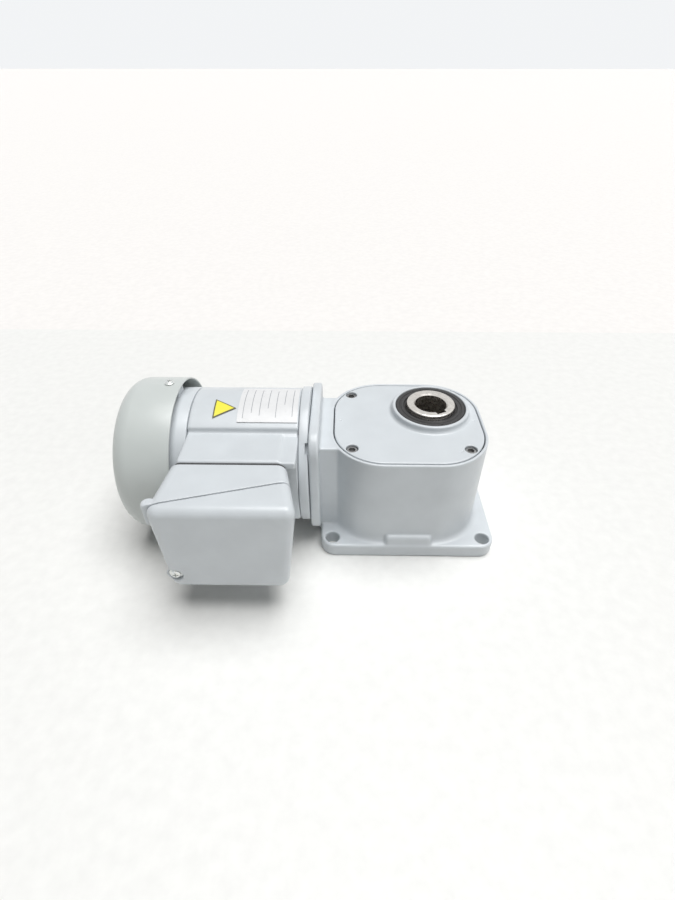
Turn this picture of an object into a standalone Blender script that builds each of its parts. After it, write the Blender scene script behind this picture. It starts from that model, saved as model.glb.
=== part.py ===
"""Right-angle gearmotor with a keyed hollow output shaft.

A worm on the motor shaft turns a worm wheel on an upright intermediate shaft, and a pinion on that
shaft turns the gear on the hollow output shaft. Lengths are in millimetres until a mesh is made.
Design axes: +X from the motor to the gear unit, +Z up, and z = 0 is the underside of the foot.
"""

import math

import bmesh
import bpy
from mathutils import Matrix, Vector

MM = 0.001
FIT = 0.3  # gap left between two pieces that touch

# Foot and gear case
FOOT_X, FOOT_Y, FOOT_THICK, FOOT_CORNER = 69.2, 60.7, 12.0, 12.0
HOLE_X, HOLE_Y, HOLE_R = 60.0, 51.5, 5.5
BODY_X, BODY_HALF_X, BODY_HALF_Y, BODY_CORNER = -2.0, 60.0, 55.3, 40.8
HOUSING_TOP = 90.8
WALL, RIM = 5.0, 2.3
LEDGE = 81.7
NECK_HALF_Y, NECK_Y = 34.8, -1.5
COVER_THICK = 8.0
PLATE_HALF, PLATE_CORNER, PLATE_Z, PLATE_THICK = 46.0, 15.0, 60.0, 8.0
SCREW_X, SCREW_FRONT, SCREW_BACK = 43.5, -35.5, 36.8

# Output shaft
OUT_X, OUT_Y = 17.6, 13.7
BORE_R, SEAL_SHAFT_R, SHAFT_R = 12.5, 19.0, 20.0
SHAFT_TOP, BOSS_TOP, BOSS_R = HOUSING_TOP + 7.8, HOUSING_TOP + 5.4, 30.7
BORE_KEY_ANGLE = math.radians(-64.0)

# Gearing
MODULE, PRESSURE = 1.5, math.radians(20.0)
WORM_PITCH_R, WORM_TURNS = 8.0, 4
WHEEL_TEETH, PINION_TEETH, GEAR_TEETH = 24, 15, 40
PLAY = 0.2  # taken off each tooth and off the worm thread
LEAD = math.pi * MODULE
WHEEL_TWIST = LEAD / (2 * math.pi * WORM_PITCH_R) / (WHEEL_TEETH * MODULE / 2)

# Motor
MOTOR_Y, MOTOR_Z = -4.2, 60.8
JOINT = -76.0
FRAME_R, FRAME_BORE = 52.7, 49.3
FRAME_FRONT, FRAME_REAR = -86.3, -165.0
COVER_R, COVER_FRONT, COVER_REAR, COVER_ROUND, SHEET = 60.6, -174.3, -218.7, 12.0, 1.5
BOLT_CIRCLE = 46.0
FAN_SCREWS, FAN_SCREW_START = 3, math.radians(83)
SHELF_ANGLE = math.radians(32)  # where the frame's round side steps down to the shelf behind the box
SHELF_FOOT = 38.0
LUG_FRONT, LUG_BACK = -168.0, -186.0
LUG_MIDDLE = -180.0

# Terminal box
BOX_LEFT, BOX_RIGHT = -174.0, -79.0
BOX_FRONT, BOX_BACK = -112.5, -67.2
BOX_LOW, BOX_HIGH, BOX_WALL = 26.0, 102.0, 3.0
BOX_LEFT_TAPER, BOX_RIGHT_TAPER = 5.0, 6.5
BOX_LEFT_DRAFT, BOX_RIGHT_DRAFT = 3.5, 9.0
LEAD_WAY_R, LEAD_WAY_AT = 9.0, (-130.0, 0, 60.0)
PART_LEFT, PART_RIGHT = -107.0, -82.0  # where the slanted joint meets the box's two sides

WHEEL_CENTRE_GAP = WORM_PITCH_R + WHEEL_TEETH * MODULE / 2
GEAR_CENTRE_GAP = (PINION_TEETH + GEAR_TEETH) * MODULE / 2
MID_Y = MOTOR_Y + WHEEL_CENTRE_GAP
MID_X = OUT_X - math.sqrt(GEAR_CENTRE_GAP**2 - (MID_Y - OUT_Y) ** 2)
MESH_ANGLE = math.atan2(OUT_Y - MID_Y, OUT_X - MID_X)

LOOKS = {
    "paint": ((0.56, 0.60, 0.64, 1), 0.42, 0.0),
    "cover_paint": ((0.47, 0.51, 0.50, 1), 0.45, 0.1),
    "steel": ((0.62, 0.61, 0.58, 1), 0.28, 1.0),
    "zinc": ((0.72, 0.72, 0.70, 1), 0.35, 1.0),
    "rubber": ((0.02, 0.02, 0.02, 1), 0.55, 0.0),
    "gasket": ((0.10, 0.10, 0.10, 1), 0.80, 0.0),
    "bronze": ((0.60, 0.38, 0.15, 1), 0.35, 1.0),
    "cast": ((0.40, 0.41, 0.42, 1), 0.55, 0.6),
    "laminate": ((0.22, 0.22, 0.23, 1), 0.60, 0.7),
    "copper": ((0.55, 0.24, 0.10, 1), 0.45, 0.8),
    "plastic": ((0.04, 0.04, 0.045, 1), 0.50, 0.0),
    "plug": ((0.25, 0.09, 0.05, 1), 0.60, 0.0),
    "label": ((0.85, 0.86, 0.86, 1), 0.40, 0.0),
    "yellow": ((0.85, 0.66, 0.03, 1), 0.40, 0.0),
}


# ---------------------------------------------------------------- scene and materials
def clear_scene():
    for obj in list(bpy.data.objects):
        bpy.data.objects.remove(obj, do_unlink=True)


def look(name):
    """The Principled material of that name, made the first time it is asked for."""
    found = bpy.data.materials.get(name)
    if found:
        return found
    colour, roughness, metallic = LOOKS[name]
    made = bpy.data.materials.new(name)
    made.use_nodes = True
    shader = made.node_tree.nodes["Principled BSDF"]
    shader.inputs["Base Color"].default_value = colour
    shader.inputs["Roughness"].default_value = roughness
    shader.inputs["Metallic"].default_value = metallic
    return made


def empty(name, at, parent=None):
    made = bpy.data.objects.new(name, None)
    made.location = Vector(at) * MM
    made.parent = parent
    bpy.context.collection.objects.link(made)
    return made


# The design frame stands so that the whole object's box has its bottom centre at the origin.
def design_frame():
    middle_x = (FOOT_X + COVER_REAR) / 2
    middle_y = (FOOT_Y + BOX_FRONT) / 2
    return empty("design_frame", (-middle_x, -middle_y, 0))


# ---------------------------------------------------------------- shapes
def finish_mesh(name, mesh_points, finish, parent):
    bmesh.ops.remove_doubles(mesh_points, verts=mesh_points.verts, dist=1e-4)
    bmesh.ops.recalc_face_normals(mesh_points, faces=mesh_points.faces)
    bmesh.ops.scale(mesh_points, vec=(MM, MM, MM), verts=mesh_points.verts)
    mesh = bpy.data.meshes.new(name)
    mesh_points.to_mesh(mesh)
    mesh_points.free()
    mesh.shade_smooth()
    mesh.set_sharp_from_angle(angle=math.radians(32))
    obj = bpy.data.objects.new(name, mesh)
    obj.parent = parent
    bpy.context.collection.objects.link(obj)
    if finish:
        mesh.materials.append(look(finish))
    else:
        obj.hide_render = True
        obj.display_type = "WIRE"
    return obj


def turn_point(axis, radius, along, angle):
    """A point at this radius and angle about X or Z."""
    u, v = radius * math.cos(angle), radius * math.sin(angle)
    return (along, u, v) if axis == "X" else (u, v, along)


def add_turned(shape, profile, axis, at, sides, phase=0.0):
    """Adds a closed (radius, along) profile turned about its axis through the point at."""
    centre = Vector(at)
    rings = []
    for radius, along in profile:
        if radius < 1e-6:
            rings.append([shape.verts.new(centre + Vector(turn_point(axis, 0, along, 0)))] * sides)
            continue
        ring = []
        for step in range(sides):
            angle = phase + 2 * math.pi * step / sides
            ring.append(shape.verts.new(centre + Vector(turn_point(axis, radius, along, angle))))
        rings.append(ring)
    for first, second in zip(rings, rings[1:] + rings[:1]):
        for step in range(sides):
            following = (step + 1) % sides
            corners = [first[step], first[following], second[following], second[step]]
            unique = list(dict.fromkeys(corners))
            if len(unique) > 2:
                shape.faces.new(unique)


def turned(name, profile, finish, parent, axis="Z", at=(0, 0, 0), sides=32):
    shape = bmesh.new()
    add_turned(shape, profile, axis, at, sides)
    return finish_mesh(name, shape, finish, parent)


def tube(inner, outer, low, high):
    return [(inner, low), (outer, low), (outer, high), (inner, high)]


def rod(radius, low, high):
    return [(0, low), (radius, low), (radius, high), (0, high)]


def stepped(*stages):
    """A solid profile of rods end to end: each stage is where it starts and its radius."""
    profile = [(0, stages[0][0])]
    for (start, radius), (end, _) in zip(stages, stages[1:]):
        profile += [(radius, start), (radius, end)]
    return profile + [(0, stages[-1][0])]


def place(axis, u, v, along):
    if axis == "X":
        return (along, u, v)
    if axis == "Y":
        return (u, along, v)
    return (u, v, along)


def add_prism(shape, outline, low, high, axis="Z", at=(0, 0, 0), twist=0.0, layers=1):
    """Adds an outline extruded along an axis, turned by twist radians per millimetre on the way."""
    centre = Vector(at)
    rings = []
    for layer in range(layers + 1):
        along = low + (high - low) * layer / layers
        turn = twist * along
        ring = []
        for u, v in outline:
            turned_u = u * math.cos(turn) - v * math.sin(turn)
            turned_v = u * math.sin(turn) + v * math.cos(turn)
            ring.append(shape.verts.new(centre + Vector(place(axis, turned_u, turned_v, along))))
        rings.append(ring)
    for first, second in zip(rings, rings[1:]):
        for step in range(len(outline)):
            following = (step + 1) % len(outline)
            shape.faces.new((first[step], first[following], second[following], second[step]))
    shape.faces.new(rings[0])
    shape.faces.new(rings[-1])


def prism(name, outline, low, high, finish, parent, axis="Z", at=(0, 0, 0), twist=0.0, layers=1):
    shape = bmesh.new()
    add_prism(shape, outline, low, high, axis, at, twist, layers)
    return finish_mesh(name, shape, finish, parent)


def rounded(half_u, half_v, radius, steps=8, centre=(0, 0)):
    points = []
    for quarter, (side_u, side_v) in enumerate(((1, 1), (-1, 1), (-1, -1), (1, -1))):
        for step in range(steps + 1):
            angle = (quarter + step / steps) * math.pi / 2
            points.append(
                (
                    centre[0] + side_u * (half_u - radius) + radius * math.cos(angle),
                    centre[1] + side_v * (half_v - radius) + radius * math.sin(angle),
                )
            )
    return points


def rectangle(low_u, high_u, low_v, high_v):
    return [(low_u, low_v), (high_u, low_v), (high_u, high_v), (low_u, high_v)]


def combine(target, tools, operation):
    for tool in tools:
        modifier = target.modifiers.new(operation.lower(), "BOOLEAN")
        modifier.operation = operation
        modifier.solver = "EXACT"
        modifier.object = tool


def add(target, *tools):
    combine(target, tools, "UNION")


def cut(target, *tools):
    combine(target, tools, "DIFFERENCE")


def drill(target, name, profile, places, axis="Z", sides=16):
    """Cuts the same turned profile at each place, with one tool that holds all of them."""
    shape = bmesh.new()
    for at in places:
        add_turned(shape, profile, axis, at, sides)
    cut(target, finish_mesh(name, shape, None, target.parent))


def spin_points(count, radius, start=0.0):
    """Points evenly round a circle, as (cosine side, sine side, angle)."""
    for step in range(count):
        angle = start + 2 * math.pi * step / count
        yield radius * math.cos(angle), radius * math.sin(angle), angle


# ---------------------------------------------------------------- gear teeth
def involute(angle):
    return math.tan(angle) - angle


def gear_outline(teeth, tip, root, phase=0.0, flank_points=3):
    """A spur outline with a tooth centred at the angle phase."""
    pitch = teeth * MODULE / 2
    base = pitch * math.cos(PRESSURE)
    half_pitch = math.pi / (2 * teeth) - PLAY / 2 / pitch
    first = max(base, root)
    flank = []
    for step in range(flank_points):
        radius = first + (tip - first) * step / (flank_points - 1)
        lean = math.acos(min(1.0, base / radius))
        flank.append((radius, half_pitch + involute(PRESSURE) - involute(lean)))
    if root < base - 0.3:
        flank.insert(0, (root, flank[0][1]))
    points = []
    for tooth in range(teeth):
        middle = phase + 2 * math.pi * tooth / teeth
        sides = [(radius, middle - half) for radius, half in flank]
        sides += [(radius, middle + half) for radius, half in reversed(flank)]
        points += [(radius * math.cos(angle), radius * math.sin(angle)) for radius, angle in sides]
    return points


def add_worm(shape, start, sides=20):
    """Adds a single-start worm about X: a round shank, the thread, and a round end."""
    root, tip = WORM_PITCH_R - 1.9, WORM_PITCH_R + 1.35
    half = LEAD / 4 - PLAY / 2
    half_root = half + (WORM_PITCH_R - root) * math.tan(PRESSURE)
    half_tip = half - (tip - WORM_PITCH_R) * math.tan(PRESSURE)
    # one lead of the thread, as (along, radius), with its middle at half a lead
    thread = [
        (0, root),
        (LEAD / 2 - half_root, root),
        (LEAD / 2 - half_tip, tip),
        (LEAD / 2 + half_tip, tip),
        (LEAD / 2 + half_root, root),
    ]
    corners = len(thread)
    lines = []
    for count in range(corners * WORM_TURNS + 1):
        turn, corner = divmod(count, corners)
        along, radius = thread[corner]
        line = []
        for step in range(sides + 1):
            angle = 2 * math.pi * step / sides
            if step == sides and count >= corners:
                line.append(None)
                continue
            x = start + along + LEAD * (turn + step / sides)
            line.append(shape.verts.new(turn_point("X", radius, x, angle)))
        lines.append(line)
    last = len(lines) - 1
    # the seam: the end of one line is the start of the line a whole lead further on
    for count in range(last + 1):
        seam = lines[count + corners][0] if count + corners <= last else None
        if seam is None:
            turn, corner = divmod(count, corners)
            along, radius = thread[corner]
            x = start + along + LEAD * (turn + 1)
            seam = shape.verts.new(turn_point("X", radius, x, 0))
        if count < corners and lines[count][sides] is not None:
            shape.verts.remove(lines[count][sides])
        lines[count][sides] = seam
    for first, second in zip(lines, lines[1:]):
        for step in range(sides):
            shape.faces.new((first[step], first[step + 1], second[step + 1], second[step]))
    shape.faces.new([lines[count][0] for count in range(corners + 1)])
    shape.faces.new([lines[last - corners + count][sides] for count in range(corners + 1)])
    return lines[0], lines[last], sides


# ---------------------------------------------------------------- gear unit
def make_gear_case(frame):
    inner_half_x, inner_half_y = BODY_HALF_X - WALL, BODY_HALF_Y - WALL
    case = prism("gear_case", rounded(FOOT_X, FOOT_Y, FOOT_CORNER, 3), 0, FOOT_THICK, "paint", frame)
    body = rounded(BODY_HALF_X, BODY_HALF_Y, BODY_CORNER, 8, (BODY_X, 0))
    neck = rectangle(JOINT + 4, -40, NECK_Y - NECK_HALF_Y, NECK_Y + NECK_HALF_Y)
    plate = rounded(PLATE_HALF, PLATE_HALF, PLATE_CORNER, 4)
    add(
        case,
        prism("case_body", body, 6, HOUSING_TOP, None, frame),
        prism("case_neck", neck, 6, HOUSING_TOP - 0.4, None, frame),
        prism("case_plate", plate, JOINT, JOINT + PLATE_THICK, None, frame, "X", (0, MOTOR_Y, PLATE_Z)),
        prism("foot_pad", rectangle(-18.5, 18.5, -59.5, -50), 8, 20, None, frame),
    )
    cavity = rounded(inner_half_x, inner_half_y, BODY_CORNER - WALL, 8, (BODY_X, 0))
    recess = rounded(BODY_HALF_X - RIM, BODY_HALF_Y - RIM, BODY_CORNER - RIM, 8, (BODY_X, 0))
    cut(case, prism("case_cavity", cavity, FOOT_THICK, HOUSING_TOP + 5, None, frame))
    motor_axis = (0, MOTOR_Y, MOTOR_Z)
    output_axis = (OUT_X, OUT_Y, 0)
    middle_axis = (MID_X, MID_Y, 0)
    add(
        case,
        turned("seal_boss", rod(24, -60, -48), None, frame, "X", motor_axis, 28),
        turned("output_boss", rod(30, 6, 19.5), None, frame, "Z", output_axis, 36),
        turned("middle_boss", rod(16, 6, 20.7), None, frame, "Z", middle_axis, 28),
    )
    lugs = bmesh.new()
    for at in cover_screw_places():
        add_turned(lugs, rod(5.2, 62, LEDGE + 1), "Z", at, 12)
    add(case, finish_mesh("screw_lugs", lugs, None, frame))
    cut(case, prism("cover_recess", recess, LEDGE, HOUSING_TOP + 5, None, frame))
    neck_bore = stepped((-85, 27.5), (-61, 20.3), (-50, 12.5), (-40, 0))
    foot_bore = stepped((-2, 27.8), (10.3, 23), (12.2, 26.3), (24, 0))
    middle_bore = stepped((12.6, 8.5), (13.7, 12.3), (26, 0))
    cut(
        case,
        turned("neck_bore", neck_bore, None, frame, "X", motor_axis, 32),
        turned("foot_bore", foot_bore, None, frame, "Z", output_axis, 36),
        turned("middle_bore", middle_bore, None, frame, "Z", middle_axis, 24),
    )
    corners = [(side_x * HOLE_X, side_y * HOLE_Y, 0) for side_x in (-1, 1) for side_y in (-1, 1)]
    drill(case, "foot_holes", rod(HOLE_R, -2, 20), corners, sides=20)
    drill(case, "lug_holes", rod(2.9, 66, 95), cover_screw_places(), sides=10)
    drill(case, "case_bolt_holes", rod(2.9, -85, -66), motor_bolt_places(), "X", 10)
    return case


def cover_screw_places():
    for side_x in (-1, 1):
        for y in (SCREW_FRONT, SCREW_BACK):
            yield BODY_X + side_x * SCREW_X, y, 0


def make_case_cover(frame):
    gap = RIM + FIT
    outline = rounded(BODY_HALF_X - gap, BODY_HALF_Y - gap, BODY_CORNER - gap, 8, (BODY_X, 0))
    low = HOUSING_TOP - COVER_THICK
    cover = prism("case_cover", outline, low, HOUSING_TOP, "paint", frame)
    output_axis = (OUT_X, OUT_Y, 0)
    middle_axis = (MID_X, MID_Y, 0)
    boss = [(0, 76), (27.6, 76), (27.6, low + 2), (BOSS_R, low + 2), (BOSS_R, BOSS_TOP - 0.8)]
    boss += [(BOSS_R - 0.8, BOSS_TOP), (0, BOSS_TOP)]
    bore = stepped((70, 26.3), (86.2, 23), (88.3, 27.8), (105, 0))
    add(
        cover,
        turned("cover_boss", boss, None, frame, "Z", output_axis, 40),
        turned("upper_middle_boss", rod(15.8, 75, 84), None, frame, "Z", middle_axis, 24),
    )
    tool = bmesh.new()
    add_turned(tool, bore, "Z", output_axis, 40)
    add_turned(tool, rod(12.3, 70, 81.5), "Z", middle_axis, 24)
    sink = [(0, 70), (2.9, 70), (2.9, 86), (4.6, 86), (4.6, 95), (0, 95)]
    for at in cover_screw_places():
        add_turned(tool, sink, "Z", at, 12)
    cut(cover, finish_mesh("cover_bores", tool, None, frame))
    screw = [(0, 68), (2.5, 68), (2.5, 86.3), (4.2, 86.3), (4.2, 90.5), (1.9, 90.5), (1.9, 88.2)]
    screw.append((0, 88.2))
    for index, at in enumerate(cover_screw_places()):
        turned(f"cover_screw_{index + 1}", screw, "zinc", frame, "Z", at, 10)
    return cover


def make_cover_gasket(frame):
    outer, inner = RIM + 0.4, WALL - 0.2
    outline = rounded(BODY_HALF_X - outer, BODY_HALF_Y - outer, BODY_CORNER - outer, 6, (BODY_X, 0))
    hole = rounded(BODY_HALF_X - inner, BODY_HALF_Y - inner, BODY_CORNER - inner, 6, (BODY_X, 0))
    gasket = prism("cover_gasket", outline, LEDGE + FIT, LEDGE + 0.8, "gasket", frame)
    cut(gasket, prism("gasket_hole", hole, LEDGE - 1, LEDGE + 3, None, frame))


def seal_profile(inner, outer, low, high):
    """A shaft seal: a stiff shell with a thinner lip near the shaft."""
    middle = (inner + outer) / 2
    return [
        (inner, low + 1.5),
        (middle - 1, low),
        (outer, low),
        (outer, high),
        (middle + 1, high),
        (middle, high - 1),
        (inner, high - 1),
    ]


def make_seals(frame):
    output_axis = (OUT_X, OUT_Y, 0)
    upper = seal_profile(SEAL_SHAFT_R + FIT, 27.5, 88.6, 95.6)
    lower = seal_profile(SEAL_SHAFT_R + FIT, 27.5, 3, 10)
    turned("upper_output_seal", upper, "rubber", frame, "Z", output_axis, 28)
    turned("lower_output_seal", lower, "rubber", frame, "Z", output_axis, 24)
    motor = seal_profile(10.3, 20, -57.7, -50.7)
    turned("input_seal", motor, "rubber", frame, "X", (0, MOTOR_Y, MOTOR_Z), 24)


def make_bearing(name, shaft, bore, low, high, axis, at, fixed, moving):
    """A ball bearing as its two rings. The rings keep a gap where the balls run."""
    ring = 0.3 * (bore - shaft)
    sides = 20 if shaft > 15 else 16
    outer = tube(bore - ring, bore - FIT, low, high)
    inner = tube(shaft + FIT, shaft + ring, low, high)
    turned(f"{name}_outer_ring", outer, "steel", fixed, axis, at, sides)
    turned(f"{name}_inner_ring", inner, "steel", moving, axis, (0, 0, 0), sides)


def make_output(frame):
    """The hollow output shaft with its gear. The parent empty stands on the output axis."""
    spin = empty("output_axis", (OUT_X, OUT_Y, 0), frame)
    profile = [
        (BORE_R, 2.2),
        (BORE_R + 0.7, 1.5),
        (SEAL_SHAFT_R - 0.6, 1.5),
        (SEAL_SHAFT_R, 2.1),
        (SEAL_SHAFT_R, 11),
        (SHAFT_R, 11),
        (SHAFT_R, 87),
        (SEAL_SHAFT_R, 87),
        (SEAL_SHAFT_R, SHAFT_TOP - 0.6),
        (SEAL_SHAFT_R - 0.6, SHAFT_TOP),
        (BORE_R + 0.7, SHAFT_TOP),
        (BORE_R, SHAFT_TOP - 0.7),
    ]
    shaft = turned("output_shaft", profile, "steel", spin, sides=32)
    keyway = prism("bore_keyway", rectangle(0, BORE_R + 3.3, -4, 4), -5, 110, None, spin)
    keyway.rotation_euler.z = BORE_KEY_ANGLE
    slot = prism("gear_key_slot", rectangle(SHAFT_R - 4, SHAFT_R + 2, -4, 4), 25.5, 36.5, None, spin)
    slot.rotation_euler.z = BORE_KEY_ANGLE + math.pi
    cut(shaft, keyway, slot)

    tip, root = GEAR_TEETH * MODULE / 2 + 1.35, GEAR_TEETH * MODULE / 2 - 1.875
    # a space of the gear faces the pinion
    phase = MESH_ANGLE + math.pi + math.pi / GEAR_TEETH
    teeth = gear_outline(GEAR_TEETH, tip, root, phase, 2)
    gear = prism("output_gear", teeth, 24, 38, "cast", spin)
    gear_way = prism("gear_keyway", rectangle(0, SHAFT_R + 3.6, -4, 4), 20, 42, None, spin)
    gear_way.rotation_euler.z = BORE_KEY_ANGLE + math.pi
    cut(gear, turned("gear_bore", rod(SHAFT_R + FIT, 20, 42), None, spin, sides=32), gear_way)
    key_outline = rectangle(SHAFT_R - 4 + FIT, SHAFT_R + 3.3, -3.7, 3.7)
    key = prism("gear_key", key_outline, 25.8, 36.2, "steel", spin)
    key.rotation_euler.z = BORE_KEY_ANGLE + math.pi
    for name, low, high in (("lower_output_bearing", 12.6, 19.6), ("upper_output_bearing", 78.5, 85.9)):
        make_bearing(name, SHAFT_R, 26.3, low, high, "Z", (OUT_X, OUT_Y, 0), frame, spin)
    return spin


def make_intermediate(frame):
    """The upright shaft with its pinion and worm wheel, on its own axis."""
    spin = empty("intermediate_axis", (MID_X, MID_Y, 0), frame)
    tip, root = PINION_TEETH * MODULE / 2 + 1.35, PINION_TEETH * MODULE / 2 - 1.875
    teeth = gear_outline(PINION_TEETH, tip, root, MESH_ANGLE)
    shaft = prism("intermediate_shaft", teeth, 23.2, 39, "steel", spin)
    spindle = [(0, 14), (6, 14), (6, 21.5), (8, 21.5), (8, 74.6), (6, 74.6), (6, 81.2), (0, 81.2)]
    slot = prism("wheel_key_slot", rectangle(5.5, 12, -2.5, 2.5), 55, 67, None, spin)
    add(shaft, turned("intermediate_spindle", spindle, None, spin, sides=28))
    cut(shaft, slot)

    pitch = WHEEL_TEETH * MODULE / 2
    # a space of the wheel faces the worm, which lies towards -Y
    outline = gear_outline(WHEEL_TEETH, pitch + 1.4, pitch - 1.95, -math.pi / 2 + math.pi / WHEEL_TEETH)
    wheel = prism(
        "worm_wheel", outline, -4, 4, "bronze", spin, "Z", (0, 0, MOTOR_Z), WHEEL_TWIST
    )
    add(wheel, turned("wheel_hub", rod(12.5, 54.5, 67.5), None, spin, sides=28))
    wheel_way = prism("wheel_keyway", rectangle(0, 10.6, -2.5, 2.5), 50, 72, None, spin)
    cut(wheel, turned("wheel_bore", rod(8.3, 50, 72), None, spin, sides=28), wheel_way)
    prism("wheel_key", rectangle(5.8, 10.3, -2.2, 2.2), 55.3, 66.7, "steel", spin)
    for name, low, high in (("lower_mid_bearing", 14.1, 20.1), ("upper_mid_bearing", 75.2, 81.2)):
        make_bearing(name, 6, 12.3, low, high, "Z", (MID_X, MID_Y, 0), frame, spin)
    return spin


# ---------------------------------------------------------------- motor
def make_rotor(frame):
    """The turning parts of the motor, on the motor axis."""
    spin = empty("motor_axis", (0, MOTOR_Y, MOTOR_Z), frame)
    profile = [
        (5.3, -62),
        (5.3, -46.5),
        (10, -46.5),
        (10, -73.5),
        (11.5, -73.5),
        (11.5, -161),
        (8.5, -161),
        (8.5, -176),
        (8, -176),
        (8, -203.5),
        (7.2, -203.5),
        (7.2, -205),
        (8, -205),
        (8, -207),
        (0, -207),
        (0, -62),
    ]
    turned("motor_shaft", profile, "steel", spin, "X", sides=20)

    thread_length = LEAD * (WORM_TURNS + 1)
    # the middle of the thread at angle 0 faces the wheel at the wheel's own x
    start = MID_X - LEAD / 2 - LEAD * (WORM_TURNS // 2)
    shape = bmesh.new()
    first, last, sides = add_worm(shape, start)
    root = WORM_PITCH_R - 1.9
    root = WORM_PITCH_R - 1.9
    near, shank, tail = (
        [shape.verts.new(turn_point("X", radius, x, 2 * math.pi * step / sides)) for step in range(sides)]
        for radius, x in ((root, -46), (5.0, -46), (5.0, -61))
    )
    end = start + thread_length + 1
    far = [shape.verts.new(turn_point("X", root, end, 2 * math.pi * step / sides)) for step in range(sides)]
    for step in range(sides):
        following = (step + 1) % sides
        shape.faces.new((near[step], near[following], shank[following], shank[step]))
        shape.faces.new((shank[step], shank[following], tail[following], tail[step]))
        if step < sides - 1:
            shape.faces.new((near[step], near[step + 1], first[step + 1], first[step]))
        if step > 0:
            shape.faces.new((far[step], far[following], last[step + 1], last[step]))
    # a line's two ends lie on one straight edge, so the face that closes its end has five corners
    shape.faces.new((near[-1], first[sides - 1], first[sides], first[0], near[0]))
    shape.faces.new((far[0], far[1], last[1], last[0], last[sides]))
    shape.faces.new(tail)
    shape.faces.new(far)
    finish_mesh("worm", shape, "steel", spin)

    core = [
        (11.8, -102),
        (20, -102),
        (20, -98),
        (26, -98),
        (27.7, -102),
        (27.7, -150),
        (26, -154),
        (20, -154),
        (20, -150),
        (11.8, -150),
    ]
    turned("rotor_core", core, "laminate", spin, "X", sides=24)

    hub = [(8.4, -202.5), (8.4, -188), (13, -188), (13, -199), (40, -201), (40, -202.5)]
    fan = turned("cooling_fan", hub, "plastic", spin, "X", sides=24)
    blades = bmesh.new()
    for _, _, angle in spin_points(7, 1):
        matrix = Matrix.Rotation(angle, 4, "X")
        before = set(blades.verts)
        add_prism(blades, rectangle(11.5, 48, -1.2, 1.2), -201.8, -188, "X")
        bmesh.ops.transform(blades, matrix=matrix, verts=[v for v in blades.verts if v not in before])
    add(fan, finish_mesh("fan_blades", blades, None, spin))
    cut(fan, turned("fan_bore", rod(8.4, -210, -180), None, spin, "X", sides=28))

    clip = turned("fan_circlip", tube(7.5, 10, -204.7, -203.8), "steel", spin, "X", sides=16)
    cut(clip, prism("clip_gap", rectangle(0, 15, -2, 2), -207, -202, None, spin, "X"))
    return spin


def motor_bolt_places():
    for y, z, _ in spin_points(4, BOLT_CIRCLE, math.pi / 4):
        yield 0, MOTOR_Y + y, MOTOR_Z + z


def frame_outline():
    """The motor frame's section about its axis: a round shell with a flat-topped block behind the box."""
    front, shelf, low = BOX_BACK + 0.5 - MOTOR_Y, BOX_HIGH - MOTOR_Z, SHELF_FOOT - MOTOR_Z
    start = math.atan2(low, -math.sqrt(FRAME_R**2 - low**2))
    end = math.pi / 2 + SHELF_ANGLE
    points = []
    round_steps = 34
    for step in range(round_steps + 1):
        angle = start + (end - start) * step / round_steps
        points.append((FRAME_R * math.cos(angle), FRAME_R * math.sin(angle)))
    round_off = 2.5
    back = FRAME_R * math.cos(end) - 0.6
    top_steps, front_steps = 4, 8
    for step in range(top_steps + 1):
        points.append((back + (front + round_off - back) * step / top_steps, shelf))
    for step in range(front_steps + 1):
        points.append((front, shelf - round_off - (shelf - low - 2 * round_off) * step / front_steps))
    points.append((front + round_off, low))
    return points


def ring_prism(name, outline, inner_r, low, high, finish, frame):
    """An outline about the motor axis extruded along X, with a round bore."""
    shape = bmesh.new()
    rings = []
    for radius, x in ((None, low), (None, high), (inner_r, high), (inner_r, low)):
        ring = []
        for y, z in outline:
            shrink = radius / math.hypot(y, z) if radius else 1
            ring.append(shape.verts.new((x, MOTOR_Y + y * shrink, MOTOR_Z + z * shrink)))
        rings.append(ring)
    for first, second in zip(rings, rings[1:] + rings[:1]):
        for step in range(len(outline)):
            following = (step + 1) % len(outline)
            shape.faces.new((first[step], first[following], second[following], second[step]))
    return finish_mesh(name, shape, finish, frame)


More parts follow.
